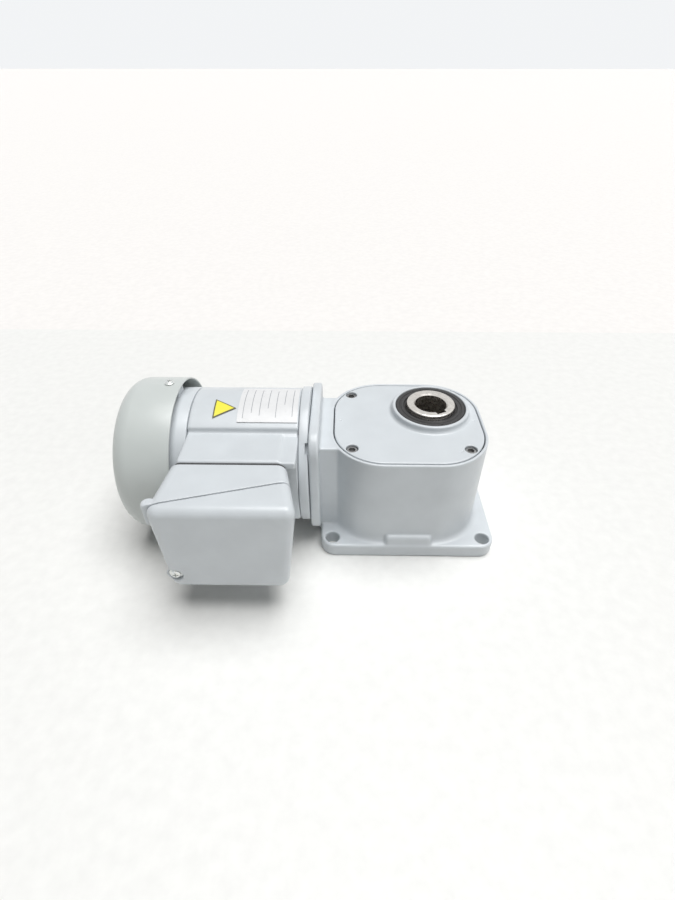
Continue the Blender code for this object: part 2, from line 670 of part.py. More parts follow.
def make_motor_body(frame, spin):
    axis_at = (0, MOTOR_Y, MOTOR_Z)
    bracket = [
        (23.8, -61.4),
        (27.2, -61.4),
        (27.2, JOINT - FIT),
        (53.5, JOINT - FIT),
        (54, JOINT - FIT - 0.5),
        (54, -86),
        (49, -86),
        (49, -90),
        (41, -90),
        (41, -82),
        (12.5, -82),
        (12.5, -73.8),
        (23.8, -73.8),
    ]
    front = turned("front_bracket", bracket, "paint", frame, "X", axis_at, 32)

    rear = [
        (20.3, -163),
        (20.3, -175),
        (10, -175),
        (10, -177.5),
        (44, -177.5),
        (44, -180),
        (52.2, -180),
        (52.7, -179.5),
        (52.7, FRAME_REAR - FIT),
        (49, FRAME_REAR - FIT),
        (49, -162),
        (43.5, -162),
        (43.5, -168),
        (24, -168),
        (24, -163),
    ]
    back = turned("rear_bracket", rear, "paint", frame, "X", axis_at, 32)
    lugs = bmesh.new()
    for _, _, angle in spin_points(FAN_SCREWS, 1, FAN_SCREW_START):
        matrix = Matrix.Rotation(angle, 4, "X")
        before = set(lugs.verts)
        add_prism(lugs, rectangle(51, 57.8, -6, 6), LUG_BACK, LUG_FRONT, "X")
        bmesh.ops.transform(lugs, matrix=matrix, verts=[v for v in lugs.verts if v not in before])
    bmesh.ops.translate(lugs, vec=axis_at, verts=lugs.verts)
    add(back, finish_mesh("fan_cover_lugs", lugs, None, frame))

    drill(front, "front_bolt_holes", rod(2.9, -95, -70), motor_bolt_places(), "X", 10)
    drill(back, "rear_bolt_holes", rod(2.9, -190, -150), motor_bolt_places(), "X", 10)
    for index, at in enumerate(motor_bolt_places()):
        bolt = [(0, -184), (3.7, -184), (3.7, -180.3), (2.5, -180.3), (2.5, -67), (0, -67)]
        turned(f"motor_bolt_{index + 1}", bolt, "zinc", frame, "X", at, 8)

    shell = ring_prism("motor_frame", frame_outline(), FRAME_BORE, FRAME_REAR, FRAME_FRONT, "paint", frame)
    cut(shell, turned_y("frame_lead_way", rod(LEAD_WAY_R, BOX_BACK - 5, -40), LEAD_WAY_AT, None, frame))
    # beside the box only an ear at the top reaches as far forward
    notch = rectangle(-93, FRAME_FRONT + 5, SHELF_FOOT - 5, BOX_HIGH - 8)
    cut(shell, prism("beside_box", notch, BOX_BACK - 5, -56.5, None, frame, "Y"))

    stator = turned("stator_core", tube(28.4, 49, -150, -102), "laminate", frame, "X", axis_at, 32)
    drill(stator, "stator_grooves", rod(2.9, -160, -95), motor_bolt_places(), "X", 10)
    for name, low, high in (("front_winding", -101.7, -91.5), ("rear_winding", -161, -150.3)):
        loops = [(31, low), (41, low), (43, low + 2), (43, high - 2), (41, high), (31, high)]
        turned(name, loops, "copper", frame, "X", axis_at, 24)
    make_bearing("front_motor_bearing", 10, 23.8, -73.2, -61.8, "X", axis_at, frame, spin)
    make_bearing("rear_motor_bearing", 8.5, 20.3, -173.8, -163.4, "X", axis_at, frame, spin)
    turned("wave_washer", tube(14, 19.8, -174.7, -174.2), "steel", frame, "X", axis_at, 20)


def make_fan_cover(frame):
    axis_at = (0, MOTOR_Y, MOTOR_Z)
    outside, inside = [], []
    for step in range(5):
        angle = math.pi / 2 * step / 4
        back = COVER_REAR + COVER_ROUND * (1 - math.sin(angle))
        rise = COVER_ROUND * (1 - math.cos(angle))
        outside.append((COVER_R - rise, back))
        inner_round = COVER_ROUND - SHEET
        inside.append(
            (
                COVER_R - SHEET - inner_round * (1 - math.cos(angle)),
                COVER_REAR + SHEET + inner_round * (1 - math.sin(angle)),
            )
        )
    profile = [(COVER_R, COVER_FRONT)] + outside + [(0, COVER_REAR), (0, COVER_REAR + SHEET)]
    profile += inside[::-1] + [(COVER_R - SHEET, COVER_FRONT)]
    cover = turned("fan_cover", profile, "cover_paint", frame, "X", axis_at, 32)
    slots = bmesh.new()
    for count, near, far in ((6, 10, 24), (10, 28, 42)):
        for _, _, angle in spin_points(count, 1, math.pi / count):
            before = set(slots.verts)
            add_prism(slots, rectangle(near, far, -2.3, 2.3), COVER_REAR - 3, COVER_REAR + 5, "X")
            fresh = [v for v in slots.verts if v not in before]
            bmesh.ops.transform(slots, matrix=Matrix.Rotation(angle, 4, "X"), verts=fresh)
    bmesh.ops.translate(slots, vec=axis_at, verts=slots.verts)
    cut(cover, finish_mesh("grille_slots", slots, None, frame))
    for index, (y, z, angle) in enumerate(spin_points(FAN_SCREWS, 1, FAN_SCREW_START)):
        # the screw's own axis is Z, tipped to point outwards from the motor axis
        tip = Matrix.Rotation(angle - math.pi / 2, 4, "X")
        screw = [(0, 54), (1.9, 54), (1.9, 60.9), (3.6, 60.9), (3.6, 62.3), (2.6, 63), (0, 63)]
        made = turned(f"fan_cover_screw_{index + 1}", screw, "zinc", frame, sides=10)
        hole = turned(f"cover_screw_hole_{index}", rod(2.25, 53.5, 64), None, frame, sides=10)
        for obj in (made, hole):
            obj.rotation_euler = tip.to_euler()
            obj.location = Vector((LUG_MIDDLE, MOTOR_Y, MOTOR_Z)) * MM
        cut(cover, hole)
        cut(bpy.data.objects["rear_bracket"], hole)


# ---------------------------------------------------------------- terminal box
def box_solid(name, inset, finish, frame):
    """The box as a solid whose sides taper to the back and whose right side has draft."""
    shape = bmesh.new()
    rings = []
    for y, share in ((BOX_FRONT + inset, 0), (BOX_BACK - inset, 1)):
        left = BOX_LEFT + BOX_LEFT_TAPER * share + inset
        right = BOX_RIGHT - BOX_RIGHT_TAPER * share - inset
        foot = right - BOX_RIGHT_DRAFT * (1 - 0.4 * share)
        low, high = BOX_LOW + inset, BOX_HIGH - inset
        corners = ((left + BOX_LEFT_DRAFT, low), (foot, low), (right, high), (left, high))
        rings.append([shape.verts.new((x, y, z)) for x, z in corners])
    for step in range(4):
        following = (step + 1) % 4
        shape.faces.new((rings[0][step], rings[0][following], rings[1][following], rings[1][step]))
    shape.faces.new(rings[0])
    shape.faces.new(rings[1])
    return finish_mesh(name, shape, finish, frame)


def box_shell(name, finish, frame):
    """The whole box, rounded and hollow, before the slanted joint splits it."""
    shell = box_solid(name, 0, finish, frame)
    bevel = shell.modifiers.new("round", "BEVEL")
    bevel.width = 4 * MM
    bevel.segments = 3
    cut(shell, box_solid(f"{name}_hollow", BOX_WALL, None, frame))
    return shell


def joint_half(name, frame, shift, forward):
    """Everything in front of the slanted joint plane, moved by shift, or everything behind it."""
    far = BOX_FRONT - 40 if forward else BOX_BACK + 40
    slope = (PART_RIGHT - PART_LEFT) / (BOX_RIGHT - BOX_LEFT)
    reach = 20
    left = PART_LEFT - slope * reach + shift
    right = PART_RIGHT + slope * reach + shift
    outline = [
        (BOX_LEFT - reach, left),
        (BOX_RIGHT + reach, right),
        (BOX_RIGHT + reach, far),
        (BOX_LEFT - reach, far),
    ]
    return prism(name, outline, BOX_LOW - 10, BOX_HIGH + 10, None, frame)


def make_terminal_box(frame):
    base = box_shell("terminal_box_base", "paint", frame)
    cover = box_shell("terminal_box_cover", "paint", frame)
    gasket = box_shell("terminal_box_gasket", "gasket", frame)
    at = (-165.2, 0, 40.0)
    post, sleeve = rod(5, BOX_FRONT + 4, BOX_BACK - 1.5), rod(6.2, BOX_FRONT + 1.5, BOX_FRONT + 15)
    add(base, turned_y("screw_post", post, at, None, frame))
    add(cover, turned_y("screw_sleeve", sleeve, at, None, frame))
    cut(base, joint_half("base_joint", frame, 0.6, True))
    cut(cover, joint_half("cover_joint", frame, -0.6, False))
    cut(gasket, joint_half("gasket_front", frame, -0.25, True))
    cut(gasket, joint_half("gasket_back", frame, 0.25, False))

    # the lead way in the back wall, the conduit opening on the left and the screw's hole
    lead_way = rod(LEAD_WAY_R, BOX_BACK - 8, BOX_BACK + 8)
    cut(base, turned_y("base_lead_way", lead_way, LEAD_WAY_AT, None, frame))
    conduit_at = (0, -86, 62)
    cut(base, turned("conduit_hole", rod(8.6, -185, -160), None, frame, "X", conduit_at, 20))
    plug = [(0, -175), (10.5, -175), (10.5, -171.5), (8.2, -171.5), (7.8, -165), (6, -165), (6, -172)]
    plug.append((0, -172))
    turned("conduit_plug", plug, "plug", frame, "X", conduit_at, 20)
    cut(base, turned_y("post_hole", rod(2.4, BOX_FRONT - 5, BOX_BACK - 10), at, None, frame))
    sink = stepped((BOX_FRONT - 5, 5.2), (BOX_FRONT + 3.5, 2.4), (BOX_FRONT + 25, 0))
    cut(cover, turned_y("screw_sink", sink, at, None, frame))
    screw = stepped((BOX_FRONT + 0.6, 4), (BOX_FRONT + 3.2, 2), (BOX_FRONT + 30, 0))
    turned_y("box_cover_screw", screw, at, "zinc", frame)

    behind = BOX_BACK - BOX_WALL - FIT
    outline = rectangle(-158, -108, 34, 48)
    block = prism("terminal_block", outline, behind - 10, behind, "plastic", frame, "Y")
    ribs = bmesh.new()
    for count in range(4):
        x = -158 + 2 + count * 46 / 3
        add_prism(ribs, rectangle(x - 1.5, x + 1.5, 33, 49), behind - 16, behind - 6, "Y")
    add(block, finish_mesh("terminal_ribs", ribs, None, frame))


def turned_y(name, profile, at, finish, frame):
    """A turned piece about an axis along Y."""
    shape = bmesh.new()
    add_turned(shape, profile, "Z", (0, 0, 0), 16)
    # Z goes to Y, and X stays
    swap = Matrix(((1, 0, 0, 0), (0, 0, 1, 0), (0, -1, 0, 0), (0, 0, 0, 1)))
    bmesh.ops.transform(shape, matrix=swap, verts=shape.verts)
    bmesh.ops.translate(shape, vec=at, verts=shape.verts)
    return finish_mesh(name, shape, finish, frame)


# ---------------------------------------------------------------- labels
def curved_plate(name, low_x, high_x, start, end, finish, frame, taper=False, steps=8):
    """A thin plate bent round the motor frame, from start to end degrees in front of the top."""
    inner, outer = FRAME_R + FIT, FRAME_R + 0.8
    shape = bmesh.new()
    rings = []
    for step in range(steps + 1):
        share = step / steps
        angle = math.radians(start + (end - start) * share)
        width = high_x - low_x
        if taper:
            width *= max(0.12, 1 - abs(2 * share - 1))
        ring = []
        for x, radius in ((low_x, inner), (low_x + width, inner), (low_x + width, outer), (low_x, outer)):
            y, z = MOTOR_Y - radius * math.sin(angle), MOTOR_Z + radius * math.cos(angle)
            ring.append(shape.verts.new((x, y, z)))
        rings.append(ring)
    for first, second in zip(rings, rings[1:]):
        for step in range(4):
            following = (step + 1) % 4
            shape.faces.new((first[step], first[following], second[following], second[step]))
    shape.faces.new(rings[0])
    shape.faces.new(rings[-1])
    return finish_mesh(name, shape, finish, frame)


def main():
    clear_scene()
    frame = design_frame()
    make_gear_case(frame)
    make_case_cover(frame)
    make_cover_gasket(frame)
    make_seals(frame)
    make_output(frame)
    make_intermediate(frame)
    spin = make_rotor(frame)
    make_motor_body(frame, spin)
    make_fan_cover(frame)
    make_terminal_box(frame)
    curved_plate("rating_plate", -131.5, -87.5, -17, 27, "label", frame)
    curved_plate("warning_plate", -151, -132.5, 4, 19, "yellow", frame, taper=True)


main()
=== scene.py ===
"""The looks of the right-angle gearmotor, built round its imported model.

Lengths are in millimetres in the design frame until a mesh is placed. The design frame has its origin
under the middle of the foot, +X from the motor to the gear unit and +Z up.
"""

import math

import bmesh
import bpy
from mathutils import Matrix, Vector


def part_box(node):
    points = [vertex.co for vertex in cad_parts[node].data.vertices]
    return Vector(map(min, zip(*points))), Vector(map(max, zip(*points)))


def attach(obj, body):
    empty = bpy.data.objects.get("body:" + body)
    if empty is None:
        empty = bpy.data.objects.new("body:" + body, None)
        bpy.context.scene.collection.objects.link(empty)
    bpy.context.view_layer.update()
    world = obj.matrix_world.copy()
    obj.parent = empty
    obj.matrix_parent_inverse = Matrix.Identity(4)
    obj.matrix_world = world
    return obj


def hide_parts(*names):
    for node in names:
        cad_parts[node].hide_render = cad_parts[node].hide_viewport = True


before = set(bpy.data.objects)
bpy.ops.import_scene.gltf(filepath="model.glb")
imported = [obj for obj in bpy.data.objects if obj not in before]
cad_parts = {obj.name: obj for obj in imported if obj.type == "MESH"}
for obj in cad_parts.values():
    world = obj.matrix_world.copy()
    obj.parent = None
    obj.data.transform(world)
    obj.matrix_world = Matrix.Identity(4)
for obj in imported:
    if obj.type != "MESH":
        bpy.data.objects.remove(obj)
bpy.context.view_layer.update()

MM = 0.001
case_low, case_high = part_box("gear_case")
FOOT_X, FOOT_Y = 69.2, (case_high.y - case_low.y) / 2 / MM
ORIGIN = Vector((case_high.x - FOOT_X * MM, (case_low.y + case_high.y) / 2, 0))


def design_box(node):
    """The lowest and highest corners of a CAD node, in the design frame."""
    return [(corner - ORIGIN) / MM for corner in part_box(node)]


# Gear case
FOOT_THICK, FOOT_CORNER = 12.0, 12.0
HOLE_X, HOLE_Y, HOLE_R = 60.0, 51.5, 5.5
BODY_X, BODY_HALF_X, BODY_HALF_Y, BODY_CORNER = -2.0, 60.0, 55.3, 40.8
TOP = 90.8
RIM, WALL, LEDGE = 2.3, 5.0, 81.7
NECK_X, NECK_Y, NECK_HALF_X, NECK_HALF_Y, NECK_CORNER = -56.0, -1.5, 16.0, 34.8, 2.5
PAD_Y, PAD_HALF_X, PAD_HALF_Y, PAD_CORNER = -52.5, 18.5, 7.0, 3.0
PLATE_HALF, PLATE_CORNER, PLATE_Z = 46.0, 15.0, 60.0
SCREW_X, SCREW_FRONT, SCREW_BACK = 43.5, -35.5, 36.8
SCREW_END, HEAD_LOW, HEAD_HIGH, HEAD_R = 68.0, 86.3, TOP - 1.4, 4.2
SINK_FLOOR, SINK_R = 86.0, 4.6
CLEARANCE_R = 2.9
# five shallow dimples left in the cover's face: x, y and radius
DIMPLES = ((-54, 0, 0.9), (-53.6, 4.6, 0.5), (51, 0.6, 0.8), (34.8, -37.4, 0.8), (33.8, -39.1, 0.6))

# Output shaft
OUT_X, OUT_Y = 17.6, 13.7
OUT, OUT_AXIS = (OUT_X, OUT_Y), (OUT_X, OUT_Y, 0)
BORE_R, SEAL_SHAFT_R, SHAFT_R = 12.5, 19.0, 20.0
SHAFT_TOP = design_box("output_shaft")[1].z
BOSS_R, BOSS_TOP = 30.7, 96.2
BEARING_R, SHOULDER_R = 26.3, 23.0
SEAL_BORE_R, SEAL_R, SEAL_BACK, SEAL_FACE = 27.8, 27.5, 88.6, 95.6
SEAL_MIRROR = 98.6
KEY_ANGLE, KEY_HALF, KEYWAY_DEEP = math.radians(-64), 4.0, 3.3

# Motor
MOTOR_Y, MOTOR_Z = -4.2, 60.8
MOTOR, MOTOR_AXIS = (MOTOR_Y, MOTOR_Z), (0, MOTOR_Y, MOTOR_Z)
FRAME_R, FRAME_BORE = 52.7, 49.3
FRAME_REAR, FRAME_FRONT = design_box("motor_frame")[0].x, -84.4
PLATE_FRONT, PLATE_BACK = -69.7, -77.0
SHELF_ANGLE = math.radians(32)
SHELF_FOOT = 38.0
NOTCH_ANGLE = math.radians(48)
COVER_REAR, COVER_FRONT = (corner.x for corner in design_box("fan_cover"))
COVER_R, SHEET = 60.6, 1.5
BOLT_CIRCLE, BOLT_HEAD, BOLT_END = 46.0, -184.0, -72.0
FAN_SCREWS, FAN_SCREW_START, FAN_SCREW_X, FAN_SCREW_TOP = 3, math.radians(83), -184.0, 62.9
# how many slots in each ring of the grille, and the radii they run between
GRILLE = ((6, 10, 24), (10, 28, 42))

# Terminal box
BOX_LEFT, BOX_RIGHT = -174.0, -79.0
BOX_FRONT, BOX_BACK = -112.5, -67.2
BOX_LOW, BOX_HIGH, BOX_WALL = 26.0, 102.0, 3.0
BOX_LEFT_TAPER, BOX_RIGHT_TAPER = 5.0, 10.5
BOX_LEFT_DRAFT, BOX_RIGHT_DRAFT = 3.5, 9.0
PART_LEFT, PART_RIGHT = -107.0, -82.0
BOX_GAP, LID_GAP = 1.7, 0.9
BOX_SCREW = (-165.2, 40.0)
LEAD_WAY, LEAD_WAY_R = (-130.0, 60.0), 9.0
CONDUIT, CONDUIT_R = (-86.0, 62.0), 8.6
KNOCK_OUT = (-100.0, 74.0)

# Labels, in degrees in front of the motor's top and in millimetres along it
LABEL_LIFT = 0.35
RATING_START, RATING_END, RATING_SHIFT = -17.0, 27.0, 2.0
TRIANGLE_START, TRIANGLE_END, TRIANGLE_SHIFT, TRIANGLE_SHORT = 3.4, 23.6, 3.6, 2.2
# where each ruled line starts and ends, as shares of the label's height
RULES = (
    (0.10, 0.92), (0.10, 0.80), (0.10, 0.86), (0.10, 0.70), (0.16, 0.90), (0.10, 0.60), (0.10, 0.88),
)

# Stage: each lamp has a strength, a width in degrees and a tilt in degrees
TABLE_BACK, FAR, DROP = 351.0, 15000, -12
LAMPS = (("overhead", 3.3, 44, (-3, 10, 0)), ("front_fill", 0.36, 44, (62, 0, 42)))
SKY, SKY_ON_MATT, SKY_SEEN = (0.97, 0.985, 1.0), 0.07, 0.92

# View
AZIMUTH, ELEVATION, DISTANCE = math.radians(0.79), math.radians(38.83), 425.7
TARGET = Vector((-56.9, 12.9, 50))
FOCAL_LENGTH, SENSOR_HEIGHT = 19.8, 36


# ---------------------------------------------------------------- shapes
def new_piece(name, shape):
    """A mesh object in the scene from a shape in the design frame."""
    bmesh.ops.remove_doubles(shape, verts=shape.verts, dist=1e-4)
    bmesh.ops.recalc_face_normals(shape, faces=shape.faces)
    bmesh.ops.scale(shape, vec=(MM, MM, MM), verts=shape.verts)
    bmesh.ops.translate(shape, vec=ORIGIN, verts=shape.verts)
    mesh = bpy.data.meshes.new(name)
    shape.to_mesh(mesh)
    shape.free()
    obj = bpy.data.objects.new(name, mesh)
    bpy.context.scene.collection.objects.link(obj)
    return obj


def place(axis, u, v, along):
    if axis == "X":
        return Vector((along, u, v))
    if axis == "Y":
        return Vector((u, along, v))
    return Vector((u, v, along))


def rounded(half_u, half_v, radius, steps=16, centre=(0, 0)):
    """A rectangle with round corners, anticlockwise."""
    points = []
    for quarter, (side_u, side_v) in enumerate(((1, 1), (-1, 1), (-1, -1), (1, -1))):
        for step in range(steps + 1):
            angle = math.pi / 2 * (quarter + step / steps)
            u = centre[0] + side_u * (half_u - radius) + radius * math.cos(angle)
            v = centre[1] + side_v * (half_v - radius) + radius * math.sin(angle)
            points.append((u, v))
    return points


def add_loft(shape, rings):
    """Skins closed rings of points, with a flat face at each end."""
    loops = [[shape.verts.new(point) for point in ring] for ring in rings]
    for first, second in zip(loops, loops[1:]):
        for step in range(len(first)):
            following = (step + 1) % len(first)
            shape.faces.new((first[step], first[following], second[following], second[step]))
    shape.faces.new(loops[0])
    shape.faces.new(loops[-1])


def add_slab(shape, half_u, half_v, radius, profile, axis="Z", centre=(0, 0), steps=16):
    """A round-cornered slab. Its profile gives how far the side stands in at each place along the axis."""
    rings = []
    for inset, along in profile:
        outline = rounded(half_u - inset, half_v - inset, max(radius - inset, 0.2), steps, centre)
        rings.append([place(axis, u, v, along) for u, v in outline])
    add_loft(shape, rings)


def add_lathe(shape, profile, axis="Z", at=(0, 0), sides=96):
    """A closed (radius, along) profile turned about an axis through the point at."""
    rings = []
    for radius, along in profile:
        if radius < 1e-6:
            rings.append([shape.verts.new(place(axis, at[0], at[1], along))] * sides)
            continue
        ring = []
        for step in range(sides):
            angle = 2 * math.pi * step / sides
            u, v = at[0] + radius * math.cos(angle), at[1] + radius * math.sin(angle)
            ring.append(shape.verts.new(place(axis, u, v, along)))
        rings.append(ring)
    for first, second in zip(rings, rings[1:] + rings[:1]):
        for step in range(sides):
            following = (step + 1) % sides
            corners = dict.fromkeys((first[step], first[following], second[following], second[step]))
            if len(corners) > 2:
                shape.faces.new(list(corners))


def slab(name, *args, **kwargs):
    shape = bmesh.new()
    add_slab(shape, *args, **kwargs)
    return new_piece(name, shape)


def lathe(name, *args, **kwargs):
    shape = bmesh.new()
    add_lathe(shape, *args, **kwargs)
    return new_piece(name, shape)


def block(name, low, high, radius=0.2):
    """A box between two corners."""
    half_u, half_v = (high[0] - low[0]) / 2, (high[1] - low[1]) / 2
    centre = ((high[0] + low[0]) / 2, (high[1] + low[1]) / 2)
    return slab(name, half_u, half_v, radius, [(0, low[2]), (0, high[2])], "Z", centre, 3)


def rod(radius, low, high):
    return [(0, low), (radius, low), (radius, high), (0, high)]


def stepped(*stages):
    """A solid profile of rods end to end: each stage is where it starts and its radius."""
    profile = [(0, stages[0][0])]
    for (start, radius), (end, _) in zip(stages, stages[1:]):
        profile += [(radius, start), (radius, end)]
    return profile + [(0, stages[-1][0])]


def bend(centre_r, centre_along, radius, start, end, steps=5):
    """Profile points round an arc, from start to end degrees."""
    points = []
    for step in range(steps + 1):
        angle = math.radians(start + (end - start) * step / steps)
        points.append((centre_r + radius * math.cos(angle), centre_along + radius * math.sin(angle)))
    return points


def apply(obj):
    """Turns the object's modifiers into mesh."""
    bpy.context.view_layer.update()
    graph = bpy.context.evaluated_depsgraph_get()
    mesh = bpy.data.meshes.new_from_object(obj.evaluated_get(graph))
    obj.modifiers.clear()
    obj.data = mesh


def combine(target, operation, tools):
    for tool in tools:
        step = target.modifiers.new(tool.name, "BOOLEAN")
        step.operation = operation
        step.object = tool
    apply(target)
    for tool in tools:
        bpy.data.objects.remove(tool)


def add(target, *tools):
    combine(target, "UNION", tools)


def cut(target, *tools):
    combine(target, "DIFFERENCE", tools)


def drill(target, profile, places, axis="Z", sides=32):
    shape = bmesh.new()
    for at in places:
        add_lathe(shape, profile, axis, at, sides)
    cut(target, new_piece("drill", shape))


def recast(obj, voxel, passes=4, keep=0.35):
    """Melts the sharp corners into small fillets, as a casting and its paint have."""
    remesh = obj.modifiers.new("cast", "REMESH")
    remesh.mode = "VOXEL"
    remesh.voxel_size = voxel * MM
    soften = obj.modifiers.new("soften", "SMOOTH")
    soften.iterations = passes
    soften.factor = 0.5
    thin = obj.modifiers.new("thin", "DECIMATE")
    thin.ratio = keep
    apply(obj)
    obj.data.shade_smooth()


def finish(obj, material, slot, body, *nodes, sharp=30):
    """Gives a piece its material and its place among the moving bodies."""
    if sharp:
        obj.data.shade_smooth()
        obj.data.set_sharp_from_angle(angle=math.radians(sharp))
    obj.data.materials.clear()
    obj.data.materials.append(material)
    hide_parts(*nodes)
    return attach(obj, body)


def spin_points(count, radius, start):
    """Evenly spaced places on a circle, each with its angle."""
    for step in range(count):
        angle = start + 2 * math.pi * step / count
        yield radius * math.cos(angle), radius * math.sin(angle), angle


def swing(obj, angle):
    """Moves a mesh made about the design frame's X axis to the motor's axis and turns it there."""
    obj.data.transform(Matrix.Translation(Vector(MOTOR_AXIS) * MM))
    centre = ORIGIN + Vector(MOTOR_AXIS) * MM
    turn = Matrix.Translation(centre) @ Matrix.Rotation(angle, 4, "X") @ Matrix.Translation(-centre)
    obj.data.transform(turn)


# ---------------------------------------------------------------- materials
def principled(name, colour, roughness, metallic=0.0):
    made = bpy.data.materials.new(name)
    made.use_nodes = True
    shader = made.node_tree.nodes["Principled BSDF"]
    shader.inputs["Base Color"].default_value = (*colour, 1)
    shader.inputs["Roughness"].default_value = roughness
    shader.inputs["Metallic"].default_value = metallic
    return made, made.node_tree, shader


def coordinates(tree, origin=(0, 0, 0)):
    """The object's own coordinates, in metres, about a point."""
    source = tree.nodes.new("ShaderNodeTexCoord")
    mapping = tree.nodes.new("ShaderNodeMapping")
    mapping.inputs["Location"].default_value = [-part for part in origin]
    tree.links.new(source.outputs["Object"], mapping.inputs["Vector"])
    return mapping.outputs["Vector"]


def noise(tree, size, detail):
    """Noise whose blotches are about size millimetres across."""
    node = tree.nodes.new("ShaderNodeTexNoise")
    node.inputs["Scale"].default_value = 1 / (size * MM)
    node.inputs["Detail"].default_value = detail
    tree.links.new(coordinates(tree), node.inputs["Vector"])
    return node.outputs["Fac"]


def spread(tree, value, low, high, from_low=0.3, from_high=0.7):
    node = tree.nodes.new("ShaderNodeMapRange")
    node.inputs["From Min"].default_value = from_low
    node.inputs["From Max"].default_value = from_high
    node.inputs["To Min"].default_value = low
    node.inputs["To Max"].default_value = high
    tree.links.new(value, node.inputs["Value"])
    return node.outputs["Result"]


def blend_colours(tree, share, first, second):
    """Mixes two colours, each a colour or a socket, by a socket from 0 to 1."""
    node = tree.nodes.new("ShaderNodeMix")
    node.data_type = "RGBA"
    tree.links.new(share, node.inputs["Factor"])
    for name, colour in (("A", first), ("B", second)):
        socket = next(s for s in node.inputs if s.name == name and s.type == "RGBA")
        if isinstance(colour, tuple):
            socket.default_value = (*colour, 1)
        else:
            tree.links.new(colour, socket)
    return next(s for s in node.outputs if s.type == "RGBA")


def bump(tree, shader, height, strength, depth, under=None):
    """Bumps depth millimetres high. under is a bump that this one stands on."""
    node = tree.nodes.new("ShaderNodeBump")
    node.inputs["Strength"].default_value = strength
    node.inputs["Distance"].default_value = depth * MM
    tree.links.new(height, node.inputs["Height"])
    if under:
        tree.links.new(under, node.inputs["Normal"])
    tree.links.new(node.outputs["Normal"], shader.inputs["Normal"])
    return node.outputs["Normal"]


def edges(tree, low, high):
    """From 0 to 1 as the surface goes from hollow to sharp."""
    geometry = tree.nodes.new("ShaderNodeNewGeometry")
    return spread(tree, geometry.outputs["Pointiness"], 0, 1, low, high)


def cloud_colour(tree, shader, size, detail, first, second):
    """Drifts between two colours in blotches of that size."""
    share = spread(tree, noise(tree, size, detail), 0, 1)
    tree.links.new(blend_colours(tree, share, first, second), shader.inputs["Base Color"])


def cloud_gloss(tree, shader, size, detail, smooth, rough):
    """Drifts between two roughnesses in blotches of that size."""
    tree.links.new(spread(tree, noise(tree, size, detail), smooth, rough), shader.inputs["Roughness"])


def wave_scale(pitch):
    """The wave texture's scale for bands a pitch of so many millimetres apart."""
    return 2 * math.pi / (20 * pitch * MM)


def paint(name, colour, roughness, grain=0.9, mottle=0.035):
    """Gloss paint over a casting: faint orange peel, cloudy tone, painted shade in hollows and creases,
    painted highlights on sharp edges.
    """
    made, tree, shader = principled(name, colour, roughness)
    light = tuple(min(1.0, c * (1 + mottle)) for c in colour)
    dark = tuple(c * (1 - mottle) for c in colour)
    cloud = blend_colours(tree, spread(tree, noise(tree, 22, 4), 0, 1), dark, light)
    # painted shade: hollows and creases darkened to 62% of the colour
    painted_shade_colour = tuple(c * 0.62 for c in colour)
    # painted highlight: sharp edges lightened by a tenth
    edge = tuple(min(1.0, c * 1.1) for c in colour)
    # masks: low Pointiness gives the painted shade, high Pointiness gives the painted highlight
    low = spread(tree, edges(tree, 0.38, 0.49), 1, 0, 0, 1)
    high = spread(tree, edges(tree, 0.52, 0.62), 0, 0.6, 0, 1)
    with_painted_shade = blend_colours(tree, low, cloud, painted_shade_colour)
    # lays the painted highlight over the sharp edges
    tree.links.new(blend_colours(tree, high, with_painted_shade, edge), shader.inputs["Base Color"])
    cloud_gloss(tree, shader, 5, 5, roughness - 0.06, roughness + 0.08)
    peel = bump(tree, shader, noise(tree, grain, 2), 0.32, 0.03)
    bump(tree, shader, noise(tree, 7, 2), 0.25, 0.12, peel)
    shader.inputs["Coat Weight"].default_value = 0.25
    shader.inputs["Coat Roughness"].default_value = 0.22
    return made


def machined(name, colour, roughness, at=(0, 0, 0), pitch=0.5, axis="Z", oil=0.25):
    """Turned steel: fine rings about its axis, a film of oil, small stains."""
    made, tree, shader = principled(name, colour, roughness, 1.0)
    wave = tree.nodes.new("ShaderNodeTexWave")
    wave.wave_type = "RINGS"
    wave.rings_direction = axis
    wave.inputs["Scale"].default_value = wave_scale(pitch)
    wave.inputs["Distortion"].default_value = 0.6
    wave.inputs["Detail"].default_value = 1.0
    tree.links.new(coordinates(tree, ORIGIN + Vector(at) * MM), wave.inputs["Vector"])
    stained = tuple(c * k for c, k in zip(colour, (0.62, 0.52, 0.42)))
    share = spread(tree, noise(tree, 6, 5), 0, oil, 0.45, 0.75)
    tree.links.new(blend_colours(tree, share, colour, stained), shader.inputs["Base Color"])
    cloud_gloss(tree, shader, 2.5, 4, roughness - 0.07, roughness + 0.1)
    rings = bump(tree, shader, wave.outputs["Fac"], 0.15, 0.015)
    bump(tree, shader, noise(tree, 0.6, 2), 0.1, 0.006, rings)
    return made


def zinc(name):
    """Bright zinc plate with a faint blue and yellow drift."""
    made, tree, shader = principled(name, (0.74, 0.75, 0.74), 0.3, 1.0)
    cloud_colour(tree, shader, 1.6, 4, (0.66, 0.70, 0.72), (0.80, 0.79, 0.74))
    cloud_gloss(tree, shader, 0.8, 4, 0.22, 0.42)
    bump(tree, shader, noise(tree, 0.3, 3), 0.2, 0.02)
    return made


def soft(name, colour, roughness, grain=0.35, strength=0.35, mottle=0.25):
    """Rubber, plastic and gasket board: a fine matt grain with patchy tone."""
    made, tree, shader = principled(name, colour, roughness)
    dark = tuple(c * (1 - mottle) for c in colour)
    light = tuple(min(1.0, c * (1 + mottle)) for c in colour)
    cloud_colour(tree, shader, 4, 4, dark, light)
    cloud_gloss(tree, shader, 1.5, 4, roughness - 0.08, roughness + 0.1)
    bump(tree, shader, noise(tree, grain, 3), strength, 0.05)
    return made


